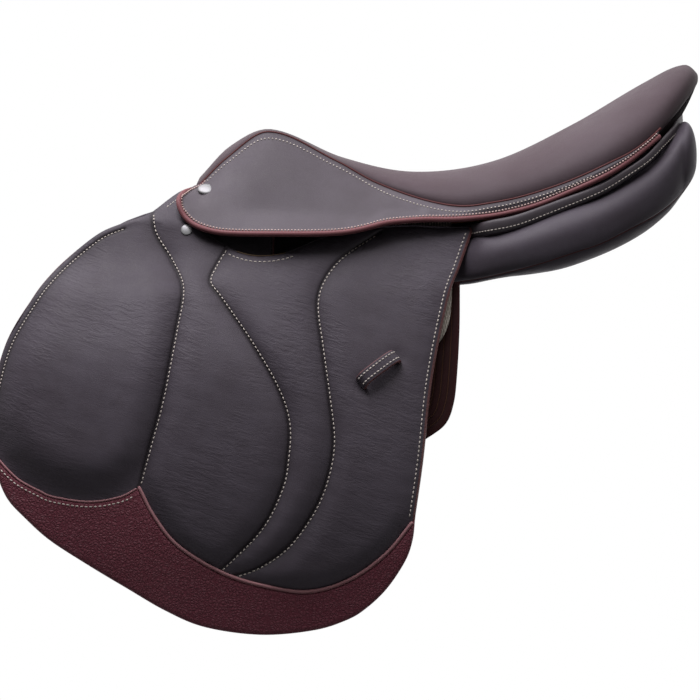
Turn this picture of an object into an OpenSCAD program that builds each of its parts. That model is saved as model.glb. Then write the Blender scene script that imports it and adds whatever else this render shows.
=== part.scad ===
// Jumping saddle with flaps, skirts, girth straps and stirrup bars, as separate pieces in millimetres.
// X runs to the back, Y to the off side and Z up, from the middle of the back it sits on.

/* [Seat] */
// From the middle forward to the front of the pommel
seat_front = 178; // [172:1:184]
// From the middle to the back of the cantle
seat_back = 264; // [256:1:272]
// Height of the pommel
pommel_h = 144; // [139:1:149]
// Height of the lowest part of the seat
dip_h = 106; // [103:1:109]
// Height of the cantle
cantle_h = 201; // [194:1:208]
// Width of the seat at the pommel
pommel_w = 88; // [82:1:94]
// Width of the seat at its widest
seat_w = 234; // [228:1:240]
// Thickness of the seat leather
cover_t = 2.5; // [1.5:0.5:3.5]

/* [Tree] */
// Thickness of the tree
tree_t = 14; // [10:1:15]
// Width of a tree rail
rail_w = 30; // [26:1:34]
// Thickness of the steel head plate
head_plate_t = 2.5; // [2:0.5:3]
// Diameter of the rivets
rivet_d = 6; // [5:0.5:7]

/* [Stirrup bar] */
// Diameter of the bar
bar_d = 9; // [8:0.5:10]
// Length of the bar
bar_len = 46; // [42:1:48]
// Gap between the bar and its plate for the stirrup leather
bar_gap = 11; // [9:0.5:12]
// Thickness of the bar plate
bar_plate_t = 4; // [3:0.5:5]
// Diameter of the catch pin
pin_d = 2.5; // [2:0.5:3]
// Length of the catch behind its pin
catch_len = 14; // [10:1:15]
// Thickness of the catch
catch_t = 3; // [2.5:0.5:3.5]

/* [Skirt] */
// Thickness of the skirt
skirt_t = 4; // [3:0.5:4.5]
// Drop of the skirt's lower edge below the seat's side
skirt_drop = 25; // [22:1:27]

/* [Flap] */
// Reach of the flap in front of the middle
flap_reach = 345; // [334:1:356]
// Drop of the flap below the middle
flap_drop = 272; // [262:1:282]
// Thickness of the flap at its seams
flap_t = 7; // [5:0.5:8]
// Rise of the padding between the seams
flap_pad = 5; // [3:0.5:7]
// Rise of the padding over the knee block
knee_pad = 9; // [6:0.5:11]
// Height of the line where the flap bends
bend_h = 26; // [23:1:28]
// Thickness of the trim along the flap's lower edge
trim_t = 2; // [1.5:0.5:3]

/* [Leather keeper] */
// Length of the keeper loop
keeper_len = 46; // [40:1:50]
// Width of the keeper loop
keeper_w = 12; // [10:1:14]
// Thickness of the keeper loop
keeper_t = 3; // [2:0.5:4]
// Room under the keeper loop
keeper_gap = 9; // [8:0.5:11]

/* [Panel and sweat flap] */
// Distance of the sweat flap's face from the middle at its top
barrel_top = 112; // [109:1:114]
// Distance of the sweat flap's face from the middle low down
barrel_low = 182; // [176:1:188]
// Thickness of the sweat flap
sweat_t = 4; // [3:0.5:5]
// Width of the channel between the panels
channel_w = 72; // [66:1:78]
// Width over both panels behind the flaps
panel_w = 278; // [270:1:286]
// Room that the knee block takes up beyond the girth straps
block_room = 14; // [10:1:18]

/* [Girth straps] */
// Width of a girth strap
strap_w = 26; // [22:1:30]
// Thickness of a girth strap
strap_t = 3.8; // [3:0.2:4.6]
// Length of a girth strap
strap_len = 170; // [160:1:176]
// Diameter of the buckle holes
hole_d = 5; // [4:0.5:6]
// Distance between buckle holes
hole_pitch = 18; // [15:1:19]
// Width of the front web that carries a girth strap
web_w = 32; // [28:1:34]
// Width of the rear web, which narrows to its strap
rear_web_w = 52; // [46:1:54]
// Thickness of the webs
web_t = 2.2; // [1.6:0.2:2.6]

/* [Nails] */
// Diameter of the nail heads
nail_d = 12; // [10:0.5:14]
// Height of the nail heads
nail_rise = 4; // [3:0.5:5]
// Diameter of the nail shanks
shank_d = 3; // [2.5:0.5:3.5]

/* [Hidden] */
$fn = 40;

black_leather = "#2b2627";
wine_leather = "#4b2a30";
steel = "#b9bcc0";
timber = "#b98c5a";
cloth = "#b7a78f";
padding = "#d8cfae";

// Clearances between neighbours: seated, sewn down, running
seat_gap = 0.3;
lay_gap = 0.5;
run_gap = 0.03;
foam_gap = 0.9;
pocket_lay = 1.5;
pocket_t = 2;
pocket_room = pocket_lay + pocket_t + 0.2;
plate_gap = 0.8;
trim_gap = 0.8;

// Plain curve helpers
function clamp(v, lo, hi) = min(max(v, lo), hi);
function lerp(a, b, t) = a + (b - a) * t;
function ease(t) = let (c = clamp(t, 0, 1)) c * c * (3 - 2 * c);
function spread(a, b, n) = [for (i = [0 : n]) lerp(a, b, i / n)];
function row(k, v, i = 0) = (i >= len(k) - 2 || v < k[i + 1][0]) ? i : row(k, v, i + 1);
function tilt(k, i) =
    let (a = max(i - 1, 0), b = min(i + 1, len(k) - 1))
    (k[b][1] - k[a][1]) / (k[b][0] - k[a][0]);
// Smooth value of the table k at v
function at(k, v) =
    let (i = row(k, v), h = k[i + 1][0] - k[i][0], t = clamp((v - k[i][0]) / h, 0, 1))
    let (p = k[i][1], q = k[i + 1][1], m = tilt(k, i) * h, n = tilt(k, i + 1) * h)
    p + m * t + (3 * (q - p) - 2 * m - n) * t * t + (m + n - 2 * (q - p)) * t * t * t;
function total(v, i = 0) = i >= len(v) ? [0, 0, 0] : v[i] + total(v, i + 1);
function middle(r) = total(r) / len(r);
function facing(r) = total([for (i = [1 : len(r) - 2]) cross(r[i] - r[0], r[i + 1] - r[0])]);

// Closed skin over rings of one even count of points, out along one face and back along the other
module skin(rings) {
    n = len(rings[0]);
    m = len(rings);
    mid = rings[floor(m / 2)];
    ahead = middle(rings[m - 1]) - middle(rings[0]);
    turn = facing(mid) * ahead > 0;
    sides = [for (r = [0 : m - 2], i = [0 : n - 1])
        let (a = r * n + i, b = r * n + (i + 1) % n, c = b + n, d = a + n)
        each [[a, d, c], [a, c, b]]];
    ends = [for (i = [0 : n / 2 - 2])
        let (a = i, b = i + 1, c = n - 2 - i, d = n - 1 - i, e = (m - 1) * n)
        each [[a, b, c], [a, c, d], [e + a, e + c, e + b], [e + a, e + d, e + c]]];
    faces = concat(sides, ends);
    polyhedron(
        points = [for (r = rings) each r],
        faces = turn ? faces : [for (f = faces) [f[2], f[1], f[0]]],
        convexity = 6);
}
function back(v) = [for (i = [len(v) - 1 : -1 : 0]) v[i]];

// Seat surface
pommel_x = 62 - seat_front;
dip_x = 12;
waist_x = 30;
peak_x = seat_back - 12;
round_x = seat_back - 93;
nose_h = pommel_h - 42;
side_h = dip_h - 27;
skirt_h = side_h - skirt_drop;
rim_h = cantle_h - 11;
brow_h = pommel_h - 7;
crest = [
    [-seat_front, nose_h],
    [lerp(-seat_front, pommel_x, 0.42), lerp(nose_h, pommel_h, 0.64)],
    [pommel_x, pommel_h],
    [lerp(pommel_x, dip_x, 0.5), lerp(dip_h, pommel_h, 0.34)],
    [dip_x, dip_h],
    [lerp(dip_x, peak_x, 0.3), lerp(dip_h, cantle_h, 0.1)],
    [lerp(dip_x, peak_x, 0.6), lerp(dip_h, cantle_h, 0.45)],
    [lerp(dip_x, peak_x, 0.87), lerp(dip_h, cantle_h, 0.85)],
    [peak_x, cantle_h],
    [seat_back, cantle_h - 8]];
edge = [
    [-seat_front, nose_h - 9],
    [lerp(-seat_front, pommel_x, 0.42), lerp(nose_h, pommel_h, 0.4)],
    [pommel_x, brow_h],
    [lerp(pommel_x, waist_x, 0.4), lerp(side_h, brow_h, 0.57)],
    [lerp(pommel_x, waist_x, 0.65), lerp(side_h, brow_h, 0.25)],
    [waist_x, side_h],
    [lerp(waist_x, seat_back, 0.15), side_h],
    [lerp(waist_x, seat_back, 0.45), lerp(side_h, rim_h, 0.2)],
    [lerp(waist_x, seat_back, 0.75), lerp(side_h, rim_h, 0.52)],
    [seat_back, rim_h]];
half = [
    [-seat_front, pommel_w / 2 + 8],
    [pommel_x, pommel_w / 2],
    [lerp(pommel_x, round_x, 0.33), lerp(pommel_w, seat_w, 0.28) / 2],
    [lerp(pommel_x, round_x, 0.63), lerp(pommel_w, seat_w, 0.74) / 2],
    [round_x, seat_w / 2]];
function seat_half(x) =
    let (t = (x - round_x) / (seat_back - round_x))
    x < round_x ? at(half, x) : seat_w / 2 * sqrt(max(0, 1 - t * t));
function seat_z(x, y) =
    let (r = min(abs(y) / seat_half(x), 1))
    lerp(at(edge, x), at(crest, x), pow(1 - pow(r, 2.4), 0.45));
seat_end = seat_back - 0.5;
seat_rows = concat(
    spread(-seat_front, pommel_x, 4),
    [-85, -60, -30, 0, 30, 60, 90, 120, 150],
    spread(round_x, seat_back - 24, 4),
    [seat_back - 14, seat_back - 7, seat_back - 2.5, seat_end]);

// Tree heights
head_x = -116;
cantle_x = 196;
rail_front = head_x + seat_gap;
function rail_top(x) =
    x > waist_x ? at(edge, x) - 2 + max(0, x - cantle_x) * 0.25 : side_h - 2 + (waist_x - x) * 0.03;
rail_side = barrel_top / 2 + 15.5;
rail_outs = [[head_x, rail_side], [40, rail_side], [130, 92], [cantle_x, 92]];
function rail_in(x) = at(rail_outs, x) - rail_w;

// Side of the horse under the sweat flap and the layers that lie on it
barrel_z = 12;
barrel_run = 230;
curl = 12;
function barrel(x, z) =
    lerp(barrel_top, barrel_low, sin(90 * clamp((barrel_z - z) / barrel_run, -0.5, 1)))
    - curl * pow(max(0, -240 - x) / 100, 2);
function barrel_lean(z) = atan((barrel(0, z - 1) - barrel(0, z + 1)) / 2);
strap_gap = 1.6;
web_lay = strap_gap + strap_t + 0.4;
strap_room = web_lay + web_t + 2;
function stand(x, z) =
    strap_room + block_room * ease((-40 - x) / 130) * ease((20 - z) / 40)
    - 10 * ease((-120 - x) / 80) * ease(z / 40) - 0.75 * ease((-150 - x) / 35) * max(0, z - 66);
function flap_in(x, z) = barrel(x, z) + stand(x, z);
function flap_face(x, z) = flap_in(x, z) + flap_t;

// Flap outline and seams, as drop below the middle against X
fk = flap_reach / 345;
dk = flap_drop / 272;
function outline(k) = [for (p = k) [p[0] * (p[0] > 0 ? dk : 1), p[1] * (p[1] < 0 ? fk : 1)]];
flap_front = outline([[-70, -221], [-54, -262], [-33, -288], [0, -315], [32, -333], [65, -342], [97, -345],
    [129, -339], [161, -328], [176, -313], [193, -293], [212, -263], [232, -230], [251, -197], [264, -165],
    [272, -118]]);
flap_rear = outline([[-58, 55], [0, 35], [65, 22], [130, 14], [178, 8], [195, 5], [211, -1],
    [233, -16], [250, -33],
    [260, -49], [268, -75], [272, -110]]);
seam_knee = outline([[-31, -194], [-9, -184], [23, -189], [80, -198], [150, -215], [200, -210], [240, -180],
    [264, -140], [272, -116]]);
seam_mid = outline([[-28, -155], [-18, -161], [0, -150], [36, -124], [72, -103], [100, -94], [153, -100],
    [185, -115], [219, -145], [240, -140], [264, -120], [272, -114]]);
seam_back = outline([[-37, -49], [-17, -66], [4, -72], [36, -68], [113, -59], [141, -63], [169, -74],
    [198, -92], [219, -108], [240, -95], [264, -92], [272, -112]]);
trim_cusp = -217 * fk;
trim_fore = [for (p = [[-339, -131], [-317, -144], [-292, -156], [-259, -161], [-234, -157], [-217, -149]])
    [p[0] * fk, p[1] * dk]];
trim_aft = [for (p = [[-217, -149], [-205, -172], [-185, -196], [-148, -219], [-111, -231], [-78, -236],
    [-45, -226], [-16, -204], [4, -178]]) [p[0] * (p[0] < 0 ? fk : 1), p[1] * dk]];
function trim_z(x) = x < trim_cusp ? at(trim_fore, x) : at(trim_aft, x);
flap_low = [for (p = [[-338, -139], [-328, -161], [-313, -176], [-293, -193], [-263, -212], [-230, -232],
    [-197, -251], [-165, -264], [-118, -272], [-75, -268], [-49, -260], [-33, -250], [-16, -233],
    [-1, -211],
    [6, -190]]) [p[0] * (p[0] < 0 ? fk : 1), p[1] * dk]];
function pad_fade(x, z) = pow(clamp((z - trim_z(x) - 16) / 24, 0, 1), 0.7) * ease((bend_h - z) / 35);
function puff(t, rise) = rise * pow(max(0, sin(180 * t)), 0.7);
function flap_columns(z) =
    let (d = -z, a = at(flap_front, d), b = at(seam_knee, d), c = at(seam_mid, d), e = at(seam_back, d))
    let (f = at(flap_rear, d))
    concat(
        [for (i = [0 : 4]) [lerp(a, b, i / 5), puff(i / 5, knee_pad)]],
        [for (i = [0 : 2]) [lerp(b, c, i / 3), puff(i / 3, flap_pad)]],
        [for (i = [0 : 2]) [lerp(c, e, i / 3), puff(i / 3, flap_pad)]],
        [for (i = [0 : 5]) [lerp(e, f, i / 5), puff(i / 5, flap_pad)]]);
flap_rows = concat([bend_h - seat_gap / 2],
    [for (d = [-14, 0, 15, 32, 50, 70, 90, 110, 128, 145, 160, 175, 190, 205, 220, 233, 244, 254, 262, 268,
        271]) -d * (d > 0 ? dk : 1)]);

// Skirt edges, as places beside the flap under them and heights against the tree
lie_y = flap_face(0, skirt_h);
tip_x = -190;
fold_x = 20;
fold_y = lie_y - 17.2;
fold_z = side_h - 2;
fold_low = side_h - 12;
skirt_out = [[-191, -14.2], [-181, -6.7], [-168, -0.7], [-138, 5.3], [-104, 11.8], [-70, 12.8],
    [-37, 9.8], [-3, 3.8], [31, -0.2]];
skirt_y = [for (p = skirt_out) [p[0], lie_y + p[1]]];
skirt_z = [[-191, fold_z + 1], [-189, fold_z - 5], [-181, fold_z - 15], [-168, skirt_h + 2],
    [-138, skirt_h], [-70, skirt_h], [-37, skirt_h + 2], [-3, skirt_h + 8.5], [20, fold_low],
    [31, fold_low + 2]];
function fold(x) =
    let (t = (x - tip_x) / (fold_x - tip_x))
    [x, lerp(fold_y, lie_y - 0.2, t), lerp(fold_z, fold_low, t)];
function skirt_lip(x) = [x, at(skirt_y, x), at(skirt_z, x)];
function seat_lip(x) = [x, seat_half(x) + lay_gap + 0.7 * skirt_t, at(edge, x)];
skirt_nose = 4 - seat_front;
function skirt_top_edge(x) =
    x > skirt_nose ? seat_lip(x) : let (t = (x - tip_x) / (skirt_nose - tip_x))
    lerp([x, fold_y - 1, fold_z + 3], [x, seat_lip(skirt_nose)[1], at(edge, skirt_nose)], pow(t, 0.7));
function tail_lip(x) =
    let (p = seat_lip(x), t = ease((x - 20) / 60), e = ease((x - 150) / 60))
    [x, p[1] + lerp(22, 6, t) - 3 * e, p[2] - lerp(13, 7, t) + 4 * e];
function skirt_low_edge(x) = x < fold_x ? fold(x) : lerp(fold(x), tail_lip(x), ease((x - fold_x) / 25));
inward = [0, -0.7, -0.7];
function leather_ring(pts, t) = concat(pts, back([for (p = pts) p + inward * t]));

// Panel sections
panel_inner = channel_w / 2;
panel_outer = barrel_top - sweat_t - 1.8;
panel_half = panel_w / 2;
panel_ins = [[-190, panel_inner + 10], [-150, panel_inner + 2], [-100, panel_inner], [167, panel_inner],
    [202, panel_inner + 2], [230, panel_inner + 6], [247, panel_inner + 15], [256, panel_inner + 28]];
panel_outs = [[-190, panel_outer - 12], [-150, panel_outer - 0.5], [0, panel_outer], [50, panel_outer],
    [60, panel_outer + 5], [80, panel_half - 10],
    [100, panel_half - 4], [133, panel_half], [167, panel_half - 1], [202, panel_half - 7],
    [230, panel_half - 21],
    [247, panel_half - 39], [256, panel_half - 58]];
panel_drop = [[-190, 59], [-150, 54], [-100, 51.3], [-50, 47.3], [0, 46.3], [40, 43], [62, 41.8],
    [87, 43.2], [112, 45.1], [138, 47.1], [163, 48.8], [190, 51.2], [217, 57.6], [230, 60.7],
    [240, 60.4], [247, 58.7],
    [253, 61.6], [256, 63.5]];
panel_tall = [[-190, 7], [-150, 11], [-100, 13], [-50, 18], [0, 21.5], [40, 21], [62, 21], [87, 21],
    [112, 24.5],
    [138, 28], [163, 30], [190, 32], [217, 33.5], [230, 34], [240, 33], [247, 30], [253, 18], [256, 7]];
panel_fall = [[-190, 0.5], [-150, 0.55], [-100, 0.55], [-50, 0.5], [0, 0.45], [50, 0.35], [100, 0.2],
    [133, 0.14],
    [167, 0.1], [256, 0.05]];
function bulge(a) = let (c = cos(a)) sign(c) * pow(abs(c), 0.77);
function panel_ring(x) =
    let (i = at(panel_ins, x), o = at(panel_outs, x), m = (i + o) / 2, w = (o - i) / 2)
    let (mid = at(edge, max(x, waist_x)) - at(panel_drop, x))
    [for (k = [0 : 17])
        let (a = 180 - 20 * k, y = m + w * bulge(a))
        [x, y, mid + at(panel_tall, x) * bulge(a - 90) - at(panel_fall, x) * (y - m)]];

// Tree head arch
arch_half = rail_side - 9.5;
arch_z = side_h - 19;
point_z = side_h - 39;
point_y = barrel(0, point_z) - pocket_room;
head_rows = spread(2 - seat_front, head_x, 4);
function arch(x, drop) =
    let (a = arch_half - drop, h = seat_z(x, 0) - 9 - arch_z - drop)
    [for (i = [0 : 12]) [x, -a * cos(15 * i), arch_z + h * sin(15 * i)]];
function leg(x, drop, s) =
    [for (t = [0, 0.5])
        [x, s * (lerp(point_y, arch_half, t) - drop * 0.6), lerp(point_z, arch_z, t) - drop * 0.75]];
function head_line(x, drop) = concat(leg(x, drop, -1), arch(x, drop), back(leg(x, drop, 1)));
function head_ring(x, near, far) = concat(head_line(x, near), back(head_line(x, far)));
function arch_ring(x, near, far) = concat(arch(x, near), back(arch(x, far)));
head_t = 10;

module tree_head() {
    color(timber) skin([for (x = head_rows) head_ring(x, 0, head_t)]);
}

module head_plate() {
    near = head_t + plate_gap;
    color(steel) skin([for (i = [1 : 3]) arch_ring(head_rows[i], near, near + head_plate_t)]);
}

module head_rivets() {
    reach = head_t + head_plate_t + 4;
    color(steel)
        for (a = [-35, -15, 15, 35])
            let (x = head_rows[2], h = seat_z(x, 0) - 9 - arch_z)
            translate([x, arch_half * sin(a), arch_z + h * cos(a) - 4])
                rotate([-a, 0, 0])
                    translate([0, 0, -reach + 4])
                        cylinder(d = rivet_d, h = reach - 3);
}

// Rail of the tree, laid to follow the seat
module rail_form() {
    rows = concat([rail_front], spread(-80, 160, 8), [cantle_x - seat_gap]);
    skin([for (x = rows)
        let (i = rail_in(x), o = at(rail_outs, x), t = rail_top(x))
        [[x, i, t], [x, o, t], [x, o, t - tree_t], [x, i, t - tree_t]]]);
}

module tree_rail_left() {
    color(timber) mirror([0, 1, 0]) rail_form();
}

module tree_rail_right() {
    color(timber) rail_form();
}

module tree_cantle() {
    rows = spread(cantle_x, seat_back - 34, 4);
    color(timber) skin([for (x = rows)
        let (w = min(seat_half(x) - 35, at(facing_side, x) - 6.5), t = rail_top(x))
        let (ys = spread(-w, w, 6))
        concat([for (y = ys) [x, y, t]], back([for (y = ys) [x, y, t - tree_t]]))]);
}

// Stirrup bar, its catch and their pins
bar_front = -118;
bar_z = side_h - 19;
plate_y = rail_side + 0.4;
bar_y = plate_y + bar_plate_t + bar_gap + bar_d / 2;
catch_x = bar_front + bar_len;
slot_gap = 0.2;
bar_foot = 9;
plate_len = bar_len + 4;

module bar_form() {
    difference() {
        union() {
            translate([bar_front, plate_y, bar_z - 4]) cube([plate_len, bar_plate_t, 20]);
            translate([bar_front, plate_y, bar_z - bar_d / 2])
                cube([bar_foot, bar_y - plate_y + bar_d / 2, bar_d]);
            translate([bar_front + bar_foot - 1, bar_y, bar_z]) rotate([0, 90, 0])
                cylinder(d = bar_d, h = bar_len + 5 - bar_foot);
        }
        translate([catch_x - 5, bar_y - catch_t / 2 - slot_gap, bar_z - bar_d])
            cube([20, catch_t + 2 * slot_gap, 2 * bar_d]);
        translate([catch_x, bar_y, bar_z]) rotate([90, 0, 0])
            cylinder(d = pin_d, h = 2 * bar_d, center = true);
        for (p = rivet_spots)
            translate([p[0], plate_y - 1, p[1]]) rotate([-90, 0, 0])
                cylinder(d = rivet_d, h = bar_plate_t + 2);
    }
}
rivet_spots = [[bar_front + 16, bar_z + 11], [bar_front + plate_len - 8, bar_z + 11]];

module stirrup_bar_left() {
    color(steel) mirror([0, 1, 0]) bar_form();
}

module stirrup_bar_right() {
    color(steel) bar_form();
}

module catch_form() {
    eye = bar_d / 2 - 0.5;
    translate([catch_x, bar_y, bar_z]) rotate([90, 0, 0])
        linear_extrude(catch_t, center = true) difference() {
            union() {
                circle(eye);
                translate([0, -eye + 1]) square([catch_len - 3, 2 * eye - 2]);
                translate([catch_len - 3, 0]) circle(eye - 1);
            }
            circle(pin_d / 2 + run_gap);
        }
}

module bar_catch_left() {
    color(steel) mirror([0, 1, 0]) catch_form();
}

module bar_catch_right() {
    color(steel) catch_form();
}

module catch_pins() {
    color(steel)
        for (s = [-1, 1])
            translate([catch_x, s * bar_y, bar_z]) rotate([90, 0, 0])
                cylinder(d = pin_d, h = bar_d - 0.6, center = true);
}

module bar_rivets() {
    color(steel)
        for (s = [0, 1], p = rivet_spots)
            mirror([0, s, 0]) translate([p[0], plate_y - 12, p[1]]) rotate([-90, 0, 0])
                cylinder(d = rivet_d, h = 12 + bar_plate_t + 0.8);
}

// Webs and foam inside the seat
module seat_webbing() {
    rows = concat([rail_front], spread(-90, 180, 9), [cantle_x, cantle_x + 14]);
    color(cloth) skin([for (x = rows)
        let (z = rail_top(x) + seat_gap)
        [[x, -34, z + 2], [x, 34, z + 2], [x, 34, z], [x, -34, z]]]);
}

module seat_foam() {
    rows = [for (x = seat_rows) if (x > head_x + 3 && x < seat_back - 26) x];
    color(padding) skin([for (x = rows)
        let (low = max(rail_top(x) + 4.2, seat_z(x, 0) - 40), e = at(edge, x), c = at(crest, x))
        let (need = clamp((low + 3 + cover_t - e) / (c - e), 0, 0.95))
        let (w = seat_half(x) * min(0.92, pow(1 - pow(need, 2.22), 0.417)))
        let (ys = [for (i = [0 : 14]) w * sin(-90 + 180 * i / 14)])
        concat(
            [for (y = ys) [x, y, seat_z(x, y) - cover_t - foam_gap]],
            back([for (y = ys) [x, y, low]]))]);
}

module seat_cover() {
    color(black_leather) skin([for (x = seat_rows)
        let (w = seat_half(x))
        let (ys = [for (i = [0 : 16]) w * sin(-90 + 180 * i / 16)])
        concat(
            [for (y = ys) [x, y, seat_z(x, y)]],
            back([for (y = ys) [x, y * (w - 0.4) / w, seat_z(x, y) - cover_t]]))]);
}

// Back of the cantle between the rim and the facing
module cantle_back() {
    wide = seat_w / 2;
    long = seat_back - round_x;
    color(black_leather) skin([for (i = [-9 : 9])
        let (a = 6.5 * i, drop = 24 * pow(cos(a), 3))
        let (x = round_x + (long - 0.7) * cos(a), y = (wide - 1) * sin(a))
        let (z = at(edge, round_x + long * cos(a)) - cover_t - 0.65)
        let (u = round_x + (long - 17) * cos(a), v = (wide - 12) * sin(a))
        [[x, y, z], [u, v, z - drop], [u - 2 * cos(a), v - 2 * sin(a), z - drop],
        [x - 4 * cos(a), y - 4 * sin(a), z]]]);
}

// Rolled facing between seat and panel, once round the cantle
facing_spots = [[57, 116, 23.8], [99, 123, 21], [133, 121.5, 18.8], [167, 114, 15.4], [202, 102, 12.9],
    [221, 82, 13], [236, 45, 18], [240, 0, 19.9]];
facing_path = [for (p = facing_spots) [p[0], p[1], at(edge, p[0]) - p[2]]];
facing_side = [for (p = facing_spots) [p[0], p[1]]];
module cantle_facing() {
    n = len(facing_path) - 1;
    ys = [for (i = [0 : n]) [i, facing_path[i][1]]];
    xs = [for (i = [0 : n]) [i, facing_path[i][0]]];
    zs = [for (i = [0 : n]) [i, facing_path[i][2]]];
    side = [for (i = [0 : 2 * n - 1]) [at(xs, i / 2), at(ys, i / 2), at(zs, i / 2)]];
    path = concat(side, [facing_path[n]], back([for (p = side) [p[0], -p[1], p[2]]]));
    m = len(path) - 1;
    color(black_leather) skin([for (i = [0 : m])
        let (d = path[min(i + 1, m)] - path[max(i - 1, 0)], out = [-d[1], d[0]] / norm([d[0], d[1]]))
        [for (k = [0 : 9])
            let (a = 36 * k + 18, r = 3.6 * cos(a))
            path[i] + [out[0] * r, out[1] * r, 7.5 * sin(a)]]]);
}

module pommel_facing() {
    x = 1.4 - seat_front;
    shape = head_ring(2 - seat_front, 1.5, head_t + 5);
    color(black_leather) skin([for (s = [x - 2, x]) [for (p = shape) [s, p[1], p[2]]]]);
}

module gullet_cover() {
    rows = concat([rail_front], spread(-80, 160, 8), [cantle_x - seat_gap]);
    color(black_leather) skin([for (x = rows)
        let (w = rail_in(x) - seat_gap, z = rail_top(x) - tree_t)
        [[x, -w, z + 2], [x, w, z + 2], [x, w, z], [x, -w, z]]]);
}

// Skirt beside the seat, with its hanging lobe below the fold
module skirt_form() {
    rows = concat([tip_x + 1, tip_x + 7, skirt_nose - 1], spread(-168, pommel_x, 3), spread(-85, fold_x, 5),
        spread(45, seat_back - 46, 8));
    skin([for (x = rows)
        let (a = skirt_top_edge(x), b = skirt_low_edge(x))
        let (line = [for (t = [0, 0.35, 0.7, 1]) lerp(a, b, t) + [0, 1.8, 1.4] * sin(180 * t)])
        leather_ring(line, skirt_t)]);
}

module lobe_form() {
    rows = concat([-188, -184, -178], spread(-168, -3, 8), [10, 17]);
    skin([for (x = rows)
        let (a = fold(x) + [0, 0.3, -0.3], b = skirt_lip(x))
        leather_ring([for (t = [0, 0.35, 0.7, 1]) lerp(a, b, t)], skirt_t)]);
}

module skirt_left() {
    color(black_leather) mirror([0, 1, 0]) skirt_form();
}

module skirt_right() {
    color(black_leather) skirt_form();
}

module skirt_lobe_left() {
    color(black_leather) mirror([0, 1, 0]) lobe_form();
}

module skirt_lobe_right() {
    color(black_leather) lobe_form();
}

// Domed nails
module nail(len) {
    ball = (pow(nail_d / 2, 2) + pow(nail_rise, 2)) / (2 * nail_rise);
    intersection() {
        translate([0, 0, nail_rise - ball]) sphere(ball, $fn = 64);
        cylinder(d = nail_d, h = nail_rise);
    }
    translate([0, 0, -len]) cylinder(d = shank_d, h = len + 0.5);
}

nail_x = -171;
module skirt_nails() {
    a = skirt_top_edge(nail_x);
    b = skirt_low_edge(nail_x);
    spot = lerp(a, b, 0.3);
    lean = atan2(b[1] - a[1], a[2] - b[2]);
    color(steel)
        for (s = [0, 1])
            mirror([0, s, 0]) translate(spot + [0, 2, 1.8]) rotate([lean - 90, 0, 0]) nail(12);
}

flap_nail = [-187, skirt_h + 3];
module flap_nails() {
    y = flap_face(flap_nail[0], flap_nail[1]);
    color(steel)
        for (s = [0, 1])
            mirror([0, s, 0]) translate([flap_nail[0], y + 1.2, flap_nail[1]]) rotate([-66, 0, 0]) nail(14);
}

// Flap above its bend, with the dip for the stirrup bar
ear_h = side_h + 13;
tail_h = side_h - 20;
top_edge = [[-292, 29], [-262, 54], [-232, 66], [-213, ear_h - 17], [-203, ear_h - 9], [-193, ear_h - 2],
    [-186, ear_h], [-179, ear_h - 22], [-172, skirt_h + 2], [-160, skirt_h - 7], [-145, skirt_h - 16],
    [-93, skirt_h - 22], [-40, skirt_h - 12], [-19, tail_h - 4], [10, tail_h], [53, tail_h - 1]];
module flap_top_form() {
    rows = concat(
        [at(flap_front, -bend_h - 2), -275, -250, -232, -213, -203, -193, -186, -179, -172, -160],
        [-145, -120, -93, -66, -40, -28, -10, 10, 30, 43, 50]);
    skin([for (x = rows)
        let (low = bend_h + seat_gap / 2 + max(0, x - 43) * 3, high = max(at(top_edge, x), low + 1.2))
        let (zs = spread(low, high, 6))
        concat([for (z = zs) [x, flap_face(x, z), z]], back([for (z = zs) [x, flap_in(x, z), z]]))]);
}

module flap_top_left() {
    color(black_leather) mirror([0, 1, 0]) flap_top_form();
}

module flap_top_right() {
    color(black_leather) flap_top_form();
}

// Flap below its bend, puffed between the seams
module flap_form() {
    skin([for (z = flap_rows)
        let (c = flap_columns(z))
        concat(
            [for (p = c) [p[0], flap_face(p[0], z) + p[1] * pad_fade(p[0], z), z]],
            back([for (p = c) [p[0], flap_in(p[0], z), z]]))]);
}

module flap_left() {
    color(black_leather) mirror([0, 1, 0]) flap_form();
}

module flap_right() {
    color(black_leather) flap_form();
}

// Trim sewn over the flap's lower edge
module trim_form() {
    rows = concat(
        spread(-330 * fk, trim_cusp, 7),
        [for (x = [-210, -203, -194, -184, -167, -148, -130, -111]) x * fk],
        [for (x = [-94, -78, -61, -45, -30, -16, -6]) x * fk],
        [1]);
    skin([for (x = rows)
        let (zs = spread(trim_z(x), at(flap_low, x), 4))
        concat(
            [for (z = zs) [x, flap_face(x, z) + trim_gap + trim_t, z]],
            back([for (z = zs) [x, flap_face(x, z) + trim_gap, z]]))]);
}

module flap_trim_left() {
    color(wine_leather) mirror([0, 1, 0]) trim_form();
}

module flap_trim_right() {
    color(wine_leather) trim_form();
}

// Loop for the end of the stirrup leather, let into the flap
keeper_spot = [-22, -56];
keeper_slant = 34;
keeper_sink = 4;
module keeper_form() {
    y = flap_face(keeper_spot[0], keeper_spot[1]) + flap_pad;
    leg = 4;
    translate([keeper_spot[0], y, keeper_spot[1]])
        rotate([barrel_lean(keeper_spot[1]), 0, 0])
            rotate([0, -keeper_slant, 0])
                difference() {
                    translate([-keeper_len / 2, -keeper_sink, -keeper_w / 2])
                        cube([keeper_len, keeper_sink + keeper_gap + keeper_t, keeper_w]);
                    translate([leg - keeper_len / 2, -keeper_sink - 1, -keeper_w])
                        cube([keeper_len - 2 * leg, keeper_sink + 1 + keeper_gap, 2 * keeper_w]);
                }
}

module leather_keeper_left() {
    color(wine_leather) mirror([0, 1, 0]) keeper_form();
}

module leather_keeper_right() {
    color(wine_leather) keeper_form();
}

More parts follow.
